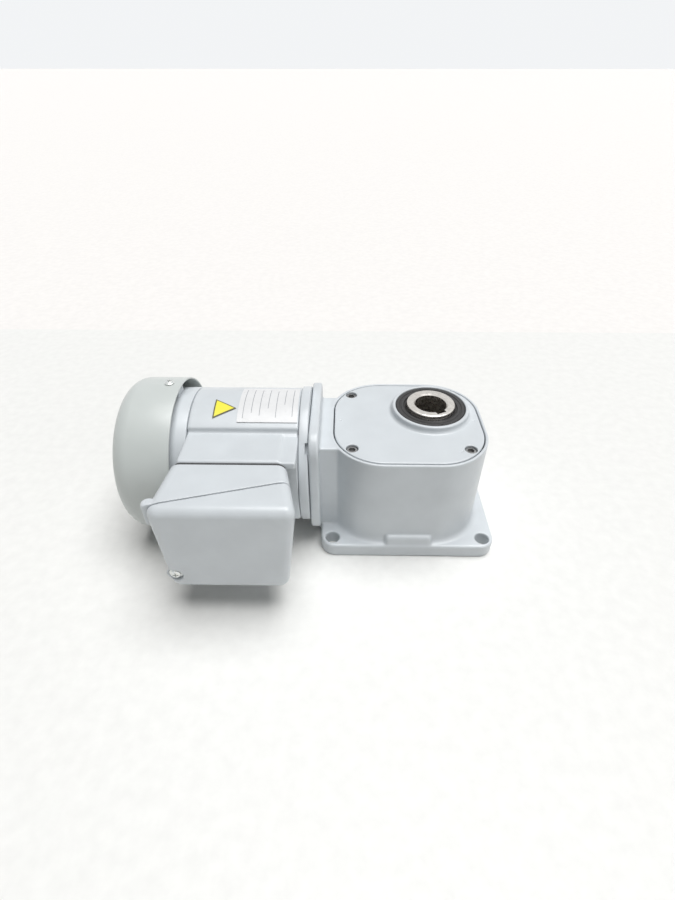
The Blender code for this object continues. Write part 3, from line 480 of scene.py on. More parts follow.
def striped(name, colour, dark, pitch, axis, roughness, metallic):
    """Stacked sheet or wound wire: fine bands across an axis."""
    made, tree, shader = principled(name, colour, roughness, metallic)
    wave = tree.nodes.new("ShaderNodeTexWave")
    wave.bands_direction = axis
    wave.inputs["Scale"].default_value = wave_scale(pitch)
    wave.inputs["Distortion"].default_value = 0.4
    tree.links.new(coordinates(tree), wave.inputs["Vector"])
    tree.links.new(blend_colours(tree, wave.outputs["Fac"], dark, colour), shader.inputs["Base Color"])
    cloud_gloss(tree, shader, 2, 4, roughness - 0.05, roughness + 0.1)
    bump(tree, shader, wave.outputs["Fac"], 0.5, 0.15)
    return made


def film(name, colour, roughness):
    """A printed plastic label: even colour, a soft sheen and slight waves."""
    made, tree, shader = principled(name, colour, roughness)
    dark = tuple(c * 0.95 for c in colour)
    cloud_colour(tree, shader, 9, 3, dark, colour)
    cloud_gloss(tree, shader, 3, 3, roughness - 0.05, roughness + 0.08)
    bump(tree, shader, noise(tree, 5, 2), 0.2, 0.05)
    return made


PAINT = paint("blue_grey_paint", (0.60, 0.635, 0.66), 0.38)
COVER_PAINT = paint("green_grey_paint", (0.545, 0.58, 0.565), 0.36, 0.6, 0.02)
SHAFT_STEEL = machined("turned_shaft_steel", (0.66, 0.63, 0.59), 0.26, OUT_AXIS, oil=0.1)
MOTOR_STEEL = machined("turned_motor_steel", (0.58, 0.57, 0.55), 0.28, MOTOR_AXIS, 0.6, "X")
BEARING_STEEL = machined("ground_bearing_steel", (0.70, 0.70, 0.69), 0.16, OUT_AXIS, 0.3, "Z", 0.1)
ZINC = zinc("zinc_plate")
RUBBER = soft("seal_rubber", (0.018, 0.017, 0.017), 0.42)
GASKET = soft("gasket_board", (0.05, 0.05, 0.052), 0.75, 0.5, 0.5)
PLASTIC = soft("terminal_plastic", (0.03, 0.03, 0.034), 0.45)
OILED_STEEL = machined("oiled_screw_steel", (0.27, 0.27, 0.27), 0.38, pitch=0.4)
PLUG = soft("plug_rubber", (0.24, 0.10, 0.06), 0.6)
BRONZE = machined("wheel_bronze", (0.70, 0.43, 0.18), 0.3, (0, 0, 0), 0.5)
GEAR_STEEL = machined("gear_steel", (0.42, 0.42, 0.42), 0.34, OUT_AXIS, 0.7)
LAMINATE = striped("core_laminations", (0.36, 0.36, 0.37), (0.12, 0.12, 0.12), 0.6, "X", 0.45, 0.8)
COPPER = striped("winding_wire", (0.66, 0.30, 0.13), (0.28, 0.09, 0.03), 0.8, "X", 0.35, 0.7)
LABEL = film("label_film", (0.76, 0.765, 0.77), 0.32)
PRINT = film("label_print", (0.30, 0.31, 0.33), 0.4)
YELLOW = film("yellow_film", (0.88, 0.80, 0.06), 0.34)
BORDER = film("dark_border", (0.10, 0.09, 0.03), 0.4)


# ---------------------------------------------------------------- gear unit
def cover_screw_places():
    for side_x in (-1, 1):
        for y in (SCREW_FRONT, SCREW_BACK):
            yield BODY_X + side_x * SCREW_X, y


def motor_bolt_places():
    for y, z, _ in spin_points(4, BOLT_CIRCLE, math.pi / 4):
        yield MOTOR_Y + y, MOTOR_Z + z


def make_gear_case():
    foot_edge = [(0.8, 0), (0, 0.8), (0, FOOT_THICK - 1.4), (0.4, FOOT_THICK - 0.4), (1.4, FOOT_THICK)]
    case = slab("gear_case_casting", FOOT_X, FOOT_Y, FOOT_CORNER, foot_edge, steps=8)
    flare = [(-3.5, 10), (-3.5, 12.1), (-2, 12.7), (-0.8, 13.9), (-0.1, 16.5), (0, 18)]
    body_edge = flare + [(0, TOP - 0.7), (0.25, TOP - 0.2), (0.7, TOP)]
    middle = (BODY_X, 0)
    neck_edge = [(0, 6), (0, TOP - 1.2), (0.8, TOP - 0.4)]
    plate_edge = [(0.9, PLATE_BACK), (0, PLATE_BACK + 0.9), (0, PLATE_FRONT - 0.9), (0.9, PLATE_FRONT)]
    pad_edge = [(-1, 11), (0, 13), (0.4, 18), (1.2, 19.5), (2.6, 20)]
    add(
        case,
        slab("body", BODY_HALF_X, BODY_HALF_Y, BODY_CORNER, body_edge, centre=middle, steps=24),
        slab("neck", NECK_HALF_X, NECK_HALF_Y, NECK_CORNER, neck_edge, centre=(NECK_X, NECK_Y), steps=6),
        slab("plate", PLATE_HALF, PLATE_HALF, PLATE_CORNER, plate_edge, "X", (MOTOR_Y, PLATE_Z), 10),
        slab("foot_pad", PAD_HALF_X, PAD_HALF_Y, PAD_CORNER, pad_edge, centre=(0, PAD_Y), steps=5),
    )
    cavity = [(0, FOOT_THICK), (0, TOP + 5)]
    half_x, half_y, corner = BODY_HALF_X - WALL, BODY_HALF_Y - WALL, BODY_CORNER - WALL
    cut(case, slab("cavity", half_x, half_y, corner, cavity, centre=middle))
    add(
        case,
        lathe("seal_boss", rod(24, -60, -48), "X", MOTOR, 64),
        lathe("output_boss", rod(30, 6, 19.5), "Z", OUT, 64),
    )
    lugs = bmesh.new()
    for at in cover_screw_places():
        add_lathe(lugs, rod(5.4, 62, LEDGE + 1), "Z", at, 32)
    add(case, new_piece("screw_lugs", lugs))
    recess = [(0, LEDGE), (0, TOP + 5)]
    half_x, half_y, corner = BODY_HALF_X - RIM, BODY_HALF_Y - RIM, BODY_CORNER - RIM
    cut(case, slab("recess", half_x, half_y, corner, recess, centre=middle, steps=24))
    neck_bore = stepped((-85, 27.5), (-61, 20.3), (-50, 12.5), (-40, 0))
    foot_bore = stepped((-2, SEAL_BORE_R), (10.3, SHOULDER_R), (12.2, BEARING_R), (24, 0))
    cut(case, lathe("neck_bore", neck_bore, "X", MOTOR), lathe("foot_bore", foot_bore, "Z", OUT))
    corners = [(side_x * HOLE_X, side_y * HOLE_Y) for side_x in (-1, 1) for side_y in (-1, 1)]
    hole = [(0, -2), (HOLE_R, -2), (HOLE_R, FOOT_THICK - 0.4), (HOLE_R + 0.9, FOOT_THICK + 0.6), (0, 20)]
    drill(case, hole, corners)
    drill(case, rod(CLEARANCE_R, 66, 95), cover_screw_places())
    drill(case, rod(CLEARANCE_R, -85, BOLT_END - 0.3), motor_bolt_places(), "X")
    recast(case, 0.8)
    return finish(case, PAINT, "paint", "root", "gear_case", sharp=0)


def make_case_cover():
    low = TOP - 8
    gap = RIM + 0.8
    edge = [(0, low), (0, TOP - 0.8), (0.25, TOP - 0.2), (0.8, TOP)]
    half_x, half_y, corner = BODY_HALF_X - gap, BODY_HALF_Y - gap, BODY_CORNER - gap
    cover = slab("case_cover_casting", half_x, half_y, corner, edge, centre=(BODY_X, 0), steps=28)
    skirt, skirt_r, flare_r = 76, 27.6, BOSS_R + 3.6
    hub = [(0, skirt), (skirt_r, skirt), (skirt_r, low + 2), (flare_r, low + 2), (flare_r, TOP - 0.3)]
    hub += bend(BOSS_R + 3.4, TOP + 3.2, 3.4, 270, 180, 6)
    hub += bend(BOSS_R - 1.4, BOSS_TOP - 1.4, 1.4, 0, 90, 5) + [(0, BOSS_TOP)]
    add(cover, lathe("hub", hub, "Z", OUT, 128))
    bores = bmesh.new()
    bore = stepped((70, BEARING_R), (86.2, SHOULDER_R), (88.3, SEAL_BORE_R), (BOSS_TOP - 0.5, 0))[:-1]
    bore += [(SEAL_BORE_R + 0.8, BOSS_TOP + 0.3), (0, BOSS_TOP + 0.3)]
    add_lathe(bores, bore, "Z", OUT, 128)
    sink = stepped((70, CLEARANCE_R), (SINK_FLOOR, SINK_R), (BOSS_TOP + 4, 0))
    for at in cover_screw_places():
        add_lathe(bores, sink, "Z", at, 40)
    for x, y, radius in DIMPLES:
        add_lathe(bores, rod(radius, TOP - 0.9, TOP + 1), "Z", (x, y), 20)
    cut(cover, new_piece("cover_bores", bores))
    recast(cover, 0.5, 3, 0.35)
    return finish(cover, PAINT, "paint", "root", "case_cover", sharp=0)


def make_case_screws():
    """Cylinder-head screws with a hexagon socket."""
    end, shank_r = SCREW_END, 2.5
    profile = [(0, end), (shank_r - 0.3, end), (shank_r, end + 0.4), (shank_r, HEAD_LOW)]
    profile += [(HEAD_R - 0.2, HEAD_LOW), (HEAD_R, HEAD_LOW + 0.2)]
    profile += bend(HEAD_R - 0.6, HEAD_HIGH - 0.6, 0.6, 0, 90, 3) + [(0, HEAD_HIGH)]
    for number, at in enumerate(cover_screw_places(), 1):
        screw = lathe(f"case_screw_{number}", profile, "Z", at, 48)
        cut(screw, lathe("socket", rod(2.7, HEAD_HIGH - 2.2, HEAD_HIGH + 1), "Z", at, 6))
        finish(screw, OILED_STEEL, "zinc", "root", f"cover_screw_{number}")


def cross_head(name, profile, axis, at, top, outward, depth=1.6, width=0.9, reach=2.3):
    """A turned screw head with a cross recess at its outer end."""
    screw = lathe(name, profile, axis, at, 48)
    ends = sorted((top - outward * depth, top + outward * 2))
    for half_u, half_v in ((reach, width / 2), (width / 2, reach)):
        cross = slab("cross", half_u, half_v, 0.2, [(0, ends[0]), (0, ends[1])], axis, at, 2)
        cut(screw, cross)
    return screw


def make_seals():
    inner, outer, back, face = SEAL_SHAFT_R + 0.3, SEAL_R, SEAL_BACK, SEAL_FACE
    profile = [(inner, back + 1.9), (inner + 3, back), (outer, back), (outer, face - 0.5)]
    profile += [(outer - 0.5, face), (inner + 5.6, face), (inner + 5.2, face - 0.5)]
    profile += [(inner + 4.4, face - 0.5), (inner + 4.0, face - 0.1), (inner + 2.2, face - 0.1)]
    profile += [(inner + 1.6, face - 1.2), (inner + 0.7, face - 1.6), (inner, face - 1.0)]
    upper = lathe("upper_seal_ring", profile, "Z", OUT, 128)
    marks = bmesh.new()
    for x, y, _ in spin_points(2, inner + 6.9, math.radians(-78)):
        add_slab(marks, 0.9, 0.35, 0.3, [(0, face - 0.3), (0, face + 1.4)], "Z", (OUT_X + x, OUT_Y + y), 3)
    cut(upper, new_piece("seal_marks", marks))
    finish(upper, RUBBER, "rubber", "root", "upper_output_seal")
    flipped = [(radius, SEAL_MIRROR - along) for radius, along in profile][::-1]
    lower = lathe("lower_seal_ring", flipped, "Z", OUT, 128)
    finish(lower, RUBBER, "rubber", "root", "lower_output_seal")


def make_output_shaft():
    top, bottom = SHAFT_TOP, 1.5
    wide_r, wide_low, wide_high = SHAFT_R - 0.1, 11, 86.9
    profile = [(BORE_R, bottom + 0.9), (BORE_R + 0.9, bottom), (SEAL_SHAFT_R - 0.8, bottom)]
    profile += [(SEAL_SHAFT_R, bottom + 0.8), (SEAL_SHAFT_R, wide_low - 0.3), (wide_r, wide_low)]
    profile += [(wide_r, wide_high), (SEAL_SHAFT_R, wide_high + 0.3), (SEAL_SHAFT_R, top - 1.0)]
    profile += bend(SEAL_SHAFT_R - 0.8, top - 0.8, 0.8, 0, 90, 4)
    profile += [(BORE_R + 1.1, top), (BORE_R, top - 1.1)]
    shaft = lathe("hollow_output_shaft", profile, "Z", OUT, 160)
    way = bmesh.new()
    turn = Matrix.Rotation(KEY_ANGLE, 4, "Z")
    add_slab(way, 8, KEY_HALF, 0.25, [(0, -5), (0, 110)], "Z", (BORE_R + KEYWAY_DEEP - 8, 0), 3)
    bmesh.ops.transform(way, matrix=turn, verts=way.verts)
    slot = bmesh.new()
    add_slab(slot, 3, KEY_HALF, 0.25, [(0, 25.5), (0, 36.5)], "Z", (-SHAFT_R + 1, 0), 3)
    bmesh.ops.transform(slot, matrix=turn, verts=slot.verts)
    for tool in (way, slot):
        bmesh.ops.translate(tool, vec=OUT_AXIS, verts=tool.verts)
    cut(shaft, new_piece("keyway", way), new_piece("key_slot", slot))
    return finish(shaft, SHAFT_STEEL, "steel", "output", "output_shaft")


# ---------------------------------------------------------------- motor
def make_front_bracket():
    back, front = PLATE_BACK - 0.3, FRAME_FRONT + 0.3
    spigot, spigot_r, seat_r, seat_floor, web, hole_r = -61.4, 27.2, 23.8, -73.8, -82, 12.5
    profile = [(seat_r, spigot), (spigot_r, spigot), (spigot_r, back), (52.9, back)]
    profile += bend(53.0, back - 1, 1.0, 90, 0, 4) + bend(53.2, front + 0.8, 0.8, 0, -90, 4)
    profile += [(49, front), (49, -90), (41, -90), (41, web)]
    profile += [(hole_r, web), (hole_r, seat_floor), (seat_r, seat_floor)]
    bracket = lathe("front_bracket_casting", profile, "X", MOTOR, 160)
    drill(bracket, rod(CLEARANCE_R, -95, -70), motor_bolt_places(), "X", 24)
    notch = block("pry_notch", (-79.5, -4, 51), (-74, 4, 58), 0.4)
    swing(notch, NOTCH_ANGLE)
    cut(bracket, notch)
    return finish(bracket, PAINT, "paint", "root", "front_bracket")


def frame_ring(x, inset=0.0):
    """The motor frame's outline at x: round, with a flat-topped block that the box is screwed to."""
    front = BOX_BACK + BOX_GAP - MOTOR_Y + inset
    shelf, low = BOX_HIGH - 0.2 - MOTOR_Z - inset, SHELF_FOOT - MOTOR_Z + inset
    radius = FRAME_R - inset
    start = math.atan2(low, -math.sqrt(radius**2 - low**2))
    end = math.pi / 2 + SHELF_ANGLE
    round_steps, round_off = 120, 3.0
    points = []
    for step in range(round_steps + 1):
        angle = start + (end - start) * step / round_steps
        points.append((radius * math.cos(angle), radius * math.sin(angle)))
    step_y = radius * math.cos(end)
    points += [(step_y - 0.5, shelf + 1.2), (step_y - 1.4, shelf)]
    points += bend(front + round_off, shelf - round_off, round_off, 90, 180, 6)
    points += bend(front + round_off, low + round_off, round_off, 180, 270, 6)
    return [Vector((x, MOTOR_Y + y, MOTOR_Z + z)) for y, z in points]


def make_motor_frame():
    shape = bmesh.new()
    stations = ((FRAME_REAR, 0.7), (FRAME_REAR + 0.7, 0), (FRAME_FRONT - 0.7, 0), (FRAME_FRONT, 0.7))
    add_loft(shape, [frame_ring(x, inset) for x, inset in stations])
    shell = new_piece("motor_frame_casting", shape)
    bore = rod(FRAME_BORE, FRAME_REAR - 5, FRAME_FRONT + 5)
    cut(shell, lathe("frame_bore", bore, "X", MOTOR, 160))
    cut(shell, lathe("lead_way", rod(LEAD_WAY_R, BOX_BACK - 5, -40), "Y", LEAD_WAY, 48))
    low, high = (-96, BOX_BACK - 5, SHELF_FOOT - 5), (FRAME_FRONT + 5, -56.8, BOX_HIGH - 6.5)
    cut(shell, block("beside_box", low, high, 1))
    # the shelf's outer end is a little lower than its middle
    step_low, step_high = (-95.6, BOX_BACK - 5, BOX_HIGH - 1.2), (FRAME_FRONT + 5, -34.5, BOX_HIGH + 3)
    cut(shell, block("shelf_end", step_low, step_high, 0.5))
    recast(shell, 0.75)
    return finish(shell, PAINT, "paint", "root", "motor_frame", sharp=0)


def fan_screw_angles():
    """How far each fan cover screw is turned from straight up."""
    return [angle - math.pi / 2 for _, _, angle in spin_points(FAN_SCREWS, 1, FAN_SCREW_START)]


def fan_lug(angle):
    rear, front, radius = -189.0, -176.0, 54.4
    edge = [(0.5, rear), (0, rear + 0.5), (0, front - 0.8), (0.8, front)]
    lug = slab("fan_lug", 6, 3.4, 1.5, edge, "X", (0, radius), 5)
    swing(lug, angle)
    return lug


def make_rear_bracket():
    face, floor, web, spigot, hub = -180, -175, -168, -162, -163
    seat_r, hole_r, hub_r, rim_r, spigot_r = 20.3, 10, 24, 44, 49
    profile = [(seat_r, hub), (seat_r, floor), (hole_r, floor), (hole_r, floor - 2.5)]
    profile += [(rim_r, floor - 2.5), (rim_r, face), (FRAME_R - 0.5, face), (FRAME_R, face + 0.5)]
    profile += bend(FRAME_R - 0.8, FRAME_REAR - 1.1, 0.8, 0, 90, 4)
    profile += [(spigot_r, FRAME_REAR - 0.3), (spigot_r, spigot), (rim_r - 0.5, spigot)]
    profile += [(rim_r - 0.5, web), (hub_r, web), (hub_r, hub)]
    bracket = lathe("rear_bracket_casting", profile, "X", MOTOR, 160)
    add(bracket, *(fan_lug(angle) for angle in fan_screw_angles()))
    drill(bracket, rod(CLEARANCE_R, -190, -150), motor_bolt_places(), "X", 24)
    for hole in fan_screw_holes():
        cut(bracket, hole)
    return finish(bracket, PAINT, "paint", "root", "rear_bracket")


def fan_screw_holes():
    for angle in fan_screw_angles():
        hole = lathe("screw_hole", rod(2.3, 53.5, 66), "Z", (FAN_SCREW_X, 0), 24)
        swing(hole, angle)
        yield hole


def make_motor_bolts():
    head, seat = BOLT_HEAD, BOLT_HEAD + 3.7
    profile = [(0, head), (3.3, head), (3.7, head + 0.5), (3.7, seat), (2.5, seat)]
    profile += [(2.5, BOLT_END), (0, BOLT_END)]
    for number, at in enumerate(motor_bolt_places(), 1):
        bolt = cross_head(f"through_bolt_{number}", profile, "X", at, head, -1)
        finish(bolt, ZINC, "zinc", "root", f"motor_bolt_{number}")


def make_fan_cover():
    big, small = 14.0, 12.5
    outside = bend(COVER_R - big, COVER_REAR + big, big, 0, -90, 14)
    inside = bend(COVER_R - SHEET - small, COVER_REAR + SHEET + small, small, -90, 0, 12)
    rim = bend(COVER_R - SHEET / 2, COVER_FRONT - SHEET / 2, SHEET / 2, 180, 0, 6)
    profile = rim + outside + [(0, COVER_REAR), (0, COVER_REAR + SHEET)] + inside
    cover = lathe("pressed_fan_cover", profile, "X", MOTOR, 192)
    slots = bmesh.new()
    through = [(0, COVER_REAR - 3), (0, COVER_REAR + 5)]
    for count, near, far in GRILLE:
        for _, _, angle in spin_points(count, 1, math.pi / count):
            before = set(slots.verts)
            add_slab(slots, (far - near) / 2, 2.2, 2.1, through, "X", ((far + near) / 2, 0), 6)
            fresh = [v for v in slots.verts if v not in before]
            bmesh.ops.transform(slots, matrix=Matrix.Rotation(angle, 4, "X"), verts=fresh)
    bmesh.ops.translate(slots, vec=MOTOR_AXIS, verts=slots.verts)
    cut(cover, new_piece("grille_slots", slots))
    for hole in fan_screw_holes():
        cut(cover, hole)
    return finish(cover, COVER_PAINT, "cover_paint", "root", "fan_cover", sharp=40)


def make_fan_screws():
    end, seat, top = 54.0, 60.9, FAN_SCREW_TOP
    profile = [(0, end), (1.9, end), (1.9, seat), (3.5, seat), (3.6, seat + 0.2), (3.6, seat + 0.6)]
    profile += [(2.9, seat + 1.0), (2.9, top - 0.5), (2.5, top), (0, top)]
    for number, angle in enumerate(fan_screw_angles(), 1):
        screw = cross_head(f"fan_screw_{number}", profile, "Z", (FAN_SCREW_X, 0), top, 1, 1.2, 0.8, 1.9)
        swing(screw, angle)
        finish(screw, ZINC, "zinc", "root", f"fan_cover_screw_{number}")


# ---------------------------------------------------------------- terminal box
def box_solid(name, inset, corner):
    """The box as a tapered solid with round edges, all its faces inset by so much."""
    shape = bmesh.new()
    stations = []
    nose_steps, back_edge = 6, 1.2
    for step in range(nose_steps + 1):
        angle = math.pi / 2 * step / nose_steps
        y = BOX_FRONT + inset + corner * (1 - math.cos(angle))
        stations.append((y, corner * (1 - math.sin(angle))))
    stations += [(BOX_BACK - inset - back_edge, 0), (BOX_BACK - inset, back_edge)]
    rings = []
    for y, pull in stations:
        share = (y - BOX_FRONT) / (BOX_BACK - BOX_FRONT)
        stand_in = inset + pull
        left = BOX_LEFT + BOX_LEFT_TAPER * share + stand_in
        right = BOX_RIGHT - BOX_RIGHT_TAPER * share - stand_in
        low, high = BOX_LOW + stand_in, BOX_HIGH - stand_in
        outline = rounded((right - left) / 2, (high - low) / 2, max(corner - pull * 0.5, 1), 8)
        ring = []
        for u, v in outline:
            down = 0.5 - v / (high - low)
            side = 0.5 + u / (right - left)
            shift = BOX_LEFT_DRAFT * (1 - side) - BOX_RIGHT_DRAFT * (1 - 0.4 * share) * side
            ring.append(Vector(((left + right) / 2 + u + shift * down, y, (low + high) / 2 + v)))
        rings.append(ring)
    add_loft(shape, rings)
    return new_piece(name, shape)


def joint_half(name, shift, forward):
    """Everything in front of the slanted joint plane, moved by shift, or everything behind it."""
    far = BOX_FRONT - 40 if forward else BOX_BACK + 40
    slope = (PART_RIGHT - PART_LEFT) / (BOX_RIGHT - BOX_LEFT)
    reach = 20
    low_x, high_x = BOX_LEFT - reach, BOX_RIGHT + reach
    left = PART_LEFT - slope * reach + shift
    right = PART_RIGHT + slope * reach + shift
    corners = [(low_x, left), (high_x, right), (high_x, far), (low_x, far)]
    shape = bmesh.new()
    add_loft(shape, [[Vector((x, y, z)) for x, y in corners] for z in (BOX_LOW - 10, BOX_HIGH + 10)])
    return new_piece(name, shape)


def box_shell(name):
    shell = box_solid(name, 0, 7)
    cut(shell, box_solid("hollow", BOX_WALL, 5))
    return shell


def make_terminal_box():
    at = BOX_SCREW
    base = box_shell("terminal_box_base_casting")
    post = rod(5, BOX_FRONT + 4, BOX_BACK - 1.5)
    add(base, lathe("post", post, "Y", at, 40))
    lug_edge = [(0.6, 84), (0, 85), (0, BOX_HIGH - 2.6), (0.5, BOX_HIGH - 1.4), (1.8, BOX_HIGH - 0.6)]
    add(base, slab("hinge_lug", 4.6, 4.6, 4.5, lug_edge, "Z", (BOX_LEFT + 1.6, PART_LEFT + 3.6), 10))
    cut(base, joint_half("base_joint", LID_GAP / 2, True))
    cut(
        base,
        lathe("lead_way", rod(LEAD_WAY_R, BOX_BACK - 8, BOX_BACK + 8), "Y", LEAD_WAY, 48),
        lathe("conduit_hole", rod(CONDUIT_R, -185, -160), "X", CONDUIT, 48),
        lathe("post_hole", rod(2.4, BOX_FRONT - 5, BOX_BACK - 10), "Y", at, 24),
        lathe("lug_dot", rod(0.8, BOX_HIGH - 1.4, BOX_HIGH + 2), "Z", (BOX_LEFT + 0.4, PART_LEFT + 3.4), 16),
    )
    recast(base, 0.6, 3)
    finish(base, PAINT, "paint", "root", "terminal_box_base", sharp=0)

    cover = box_shell("terminal_box_cover_casting")
    add(cover, lathe("sleeve", rod(6.2, BOX_FRONT + 1.5, BOX_FRONT + 15), "Y", at, 40))
    cut(cover, joint_half("cover_joint", -LID_GAP / 2, False))
    outer, floor, end = BOX_FRONT - 5, BOX_FRONT + 3.5, BOX_FRONT + 25
    sink = [(0, outer), (7.2, outer), (5.4, BOX_FRONT + 0.8), (5.2, floor), (2.4, floor)]
    sink += [(2.4, end), (0, end)]
    through = [(0, BOX_RIGHT - 4.6), (0, BOX_RIGHT + 5)]
    knock_out = slab("knock_out", 3.4, 6.5, 3.2, through, "X", KNOCK_OUT, 8)
    cut(cover, lathe("screw_sink", sink, "Y", at, 48), knock_out)
    recast(cover, 0.6, 3)
    finish(cover, PAINT, "paint", "root", "terminal_box_cover", sharp=0)

    seat, end, top = BOX_FRONT + 3.2, BOX_FRONT + 30, BOX_FRONT + 0.6
    head = [(0, end), (2, end), (2, seat), (4.6, seat), (4.6, seat - 0.8), (3.4, seat - 0.8)]
    head += [(3.4, top + 0.7), (2.6, top + 0.1), (0, top)]
    screw = cross_head("box_screw", head, "Y", at, top, -1, 1.3, 0.8, 2.1)
    finish(screw, ZINC, "zinc", "root", "box_cover_screw")

    left, right = BOX_LEFT + BOX_LEFT_TAPER, BOX_RIGHT - BOX_RIGHT_TAPER
    half_x, half_z = (right - left) / 2 - 1.4, 21
    middle = ((right + left) / 2, BOX_HIGH - 0.9 - half_z)
    front, back = BOX_BACK + 0.05, BOX_BACK + BOX_GAP - 0.05
    edge = [(0.1, front), (0, front + 0.1), (0, back - 0.1), (0.1, back)]
    gasket = slab("box_gasket", half_x, half_z, 6, edge, "Y", middle, 8)
    cut(gasket, lathe("gasket_hole", rod(LEAD_WAY_R, BOX_BACK - 8, BOX_BACK + 8), "Y", LEAD_WAY, 48))
    finish(gasket, GASKET, "gasket", "root", "terminal_box_gasket")

    face, seat, end, flange_r = -175, -171.5, -165, 10.5
    plug = [(0, face), (flange_r - 0.8, face), (flange_r, face + 0.8), (flange_r, seat), (8.2, seat)]
    plug += [(7.8, end), (6, end), (6, seat - 0.5), (0, seat - 0.5)]
    conduit = lathe("conduit_blank", plug, "X", CONDUIT, 64)
    cut(conduit, slab("plug_slot", 5.5, 0.8, 0.4, [(0, face - 1), (0, face + 0.7)], "X", CONDUIT, 4))
    finish(conduit, PLUG, "plug", "root", "conduit_plug")


# ---------------------------------------------------------------- labels
def bent_point(x, ahead, radius):
    """A point on a cylinder about the motor's axis, ahead degrees in front of the top."""
    angle = math.radians(ahead)
    return Vector((x, MOTOR_Y - radius * math.sin(angle), MOTOR_Z + radius * math.cos(angle)))


def add_bent_strip(shape, edge_lines, low, high):
    """A thin strip round the motor: edge_lines gives (degrees, first x, second x) from end to end."""
    rings = []
    for ahead, first, second in edge_lines:
        places = ((first, low), (second, low), (second, high), (first, high))
        rings.append([bent_point(x, ahead, radius) for x, radius in places])
    add_loft(shape, rings)


def triangle_lines(low, high, inset):
    """The edge lines of a triangle that points along the motor, with its edges inset by so much."""
    near, length = low + inset + TRIANGLE_SHIFT, high - low - TRIANGLE_SHORT - inset * 2.6
    first, last = TRIANGLE_START + inset * 1.6, TRIANGLE_END - inset * 1.6
    lines, steps = [], 24
    for step in range(steps + 1):
        share = step / steps
        reach = length * (1 - abs(2 * share - 1))
        lines.append((first + (last - first) * share, near, near + max(reach, 0.15)))
    return lines


def make_labels():
    lift, (near, far) = FRAME_R + LABEL_LIFT, design_box("rating_plate")
    low, high = near.x + RATING_SHIFT, far.x + RATING_SHIFT
    start, turn, steps = RATING_START, RATING_END - RATING_START, 30
    shape = bmesh.new()
    lines = [(start + turn * step / steps, low, high) for step in range(steps + 1)]
    add_bent_strip(shape, lines, lift, lift + 0.3)
    plate = new_piece("rating_label", shape)
    finish(plate, LABEL, "label", "root", "rating_plate")
    # plain ruled lines instead of print
    rules = bmesh.new()
    margin, half_width, rule_steps = 4, 0.22, 12
    for index, (first, last) in enumerate(RULES):
        x = low + margin + index * (high - low - 2 * margin) / (len(RULES) - 1)
        span = [start + turn * (first + (last - first) * step / rule_steps) for step in range(rule_steps + 1)]
        lines = [(ahead, x - half_width, x + half_width) for ahead in span]
        add_bent_strip(rules, lines, lift + 0.31, lift + 0.37)
    finish(new_piece("label_rules", rules), PRINT, "label", "root")

    low, high = (corner.x for corner in design_box("warning_plate"))
    border, face = bmesh.new(), bmesh.new()
    add_bent_strip(border, triangle_lines(low, high, 0.0), lift, lift + 0.3)
    finish(new_piece("triangle_border", border), BORDER, "yellow", "root", "warning_plate")
    add_bent_strip(face, triangle_lines(low, high, 1.0), lift + 0.31, lift + 0.36)
    finish(new_piece("triangle_face", face), YELLOW, "yellow", "root")


# ---------------------------------------------------------------- inside
def dress_inside():
    """Procedural materials on the CAD nodes that keep their shape."""
    looks = {
        "motor_shaft": MOTOR_STEEL, "worm": MOTOR_STEEL, "fan_circlip": MOTOR_STEEL,
        "wave_washer": MOTOR_STEEL, "wheel_key": GEAR_STEEL, "gear_key": GEAR_STEEL,
        "intermediate_shaft": GEAR_STEEL, "output_gear": GEAR_STEEL, "worm_wheel": BRONZE,
        "rotor_core": LAMINATE, "stator_core": LAMINATE, "front_winding": COPPER,
        "rear_winding": COPPER, "cooling_fan": PLASTIC, "terminal_block": PLASTIC,
        "input_seal": RUBBER, "cover_gasket": GASKET,
    }
    for name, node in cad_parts.items():
        if name.endswith("_ring"):
            looks[name] = BEARING_STEEL
        if name in looks:
            node.data.materials.clear()
            node.data.materials.append(looks[name])


# ---------------------------------------------------------------- stage
def flat(name, material, z, back):
    """A level sheet reaching back to y = back, and far away in the other directions."""
    shape = bmesh.new()
    ring = [(-FAR, -FAR), (FAR, -FAR), (FAR, back), (-FAR, back)]
    shape.faces.new([shape.verts.new((x, y, z)) for x, y in ring])
    sheet = new_piece(name, shape)
    sheet.data.materials.append(material)


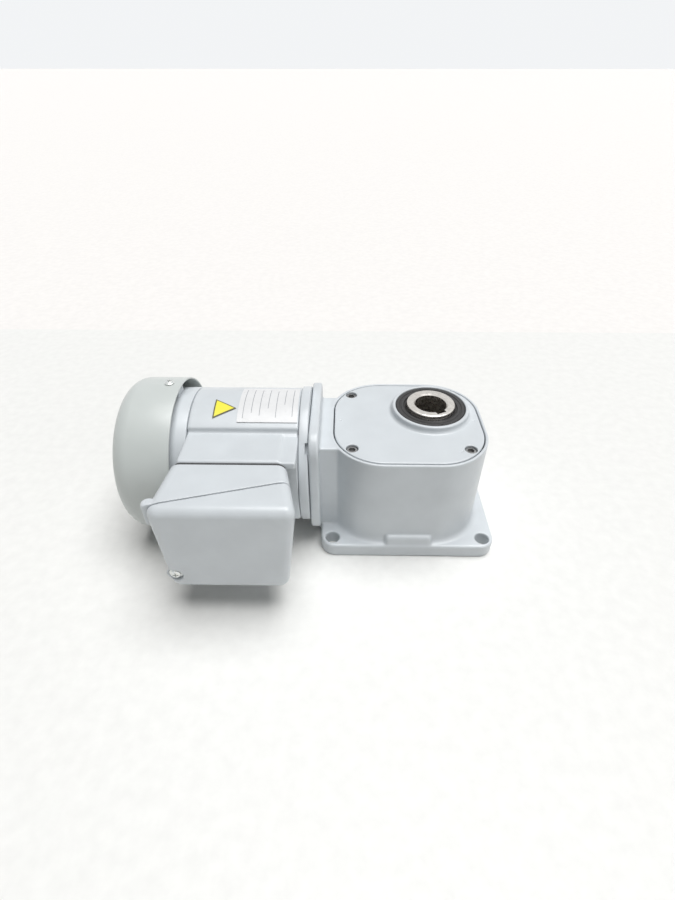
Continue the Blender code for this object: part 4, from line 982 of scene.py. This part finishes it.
def make_stage():
    flat("table", film("pale_table", (0.82, 0.82, 0.80), 0.55), 0, TABLE_BACK)
    flat("backdrop", film("warm_backdrop", (0.86, 0.84, 0.82), 0.7), DROP, FAR)
    for name, power, width, tilt in LAMPS:
        lamp = bpy.data.lights.new(name, "SUN")
        lamp.energy = power
        lamp.angle = math.radians(width)
        obj = bpy.data.objects.new(name, lamp)
        obj.rotation_euler = [math.radians(turn) for turn in tilt]
        bpy.context.scene.collection.objects.link(obj)

    world = bpy.data.worlds.new("studio")
    bpy.context.scene.world = world
    world.use_nodes = True
    tree = world.node_tree
    back = tree.nodes["Background"]
    back.inputs["Color"].default_value = (*SKY, 1)
    path = tree.nodes.new("ShaderNodeLightPath")
    wide = tree.nodes.new("ShaderNodeMath")
    wide.operation = "MAXIMUM"
    tree.links.new(path.outputs["Is Camera Ray"], wide.inputs[0])
    tree.links.new(path.outputs["Is Glossy Ray"], wide.inputs[1])
    strength = spread(tree, wide.outputs[0], SKY_ON_MATT, SKY_SEEN, 0, 1)
    tree.links.new(strength, back.inputs["Strength"])
    bpy.context.scene.view_settings.view_transform = "Standard"


def make_camera():
    """The view: turned a little to the right of straight on and looking down at the table."""
    cos_a, sin_a = math.cos(AZIMUTH), math.sin(AZIMUTH)
    cos_e, sin_e = math.cos(ELEVATION), math.sin(ELEVATION)
    forward = Vector((-sin_a * cos_e, cos_a * cos_e, -sin_e))
    right = Vector((cos_a, sin_a, 0))
    lens = bpy.data.cameras.new("view")
    lens.sensor_fit = "VERTICAL"
    lens.sensor_height = SENSOR_HEIGHT
    lens.lens = FOCAL_LENGTH
    lens.clip_start = 0.01
    camera = bpy.data.objects.new("view", lens)
    matrix = Matrix((right, right.cross(forward), -forward)).transposed().to_4x4()
    matrix.translation = ORIGIN + (TARGET - forward * DISTANCE) * MM
    camera.matrix_world = matrix
    bpy.context.scene.collection.objects.link(camera)
    bpy.context.scene.camera = camera


make_camera()
make_stage()
make_gear_case()
make_case_cover()
make_case_screws()
make_seals()
make_output_shaft()
make_front_bracket()
make_motor_frame()
make_rear_bracket()
make_motor_bolts()
make_fan_cover()
make_fan_screws()
make_terminal_box()
make_labels()
dress_inside()
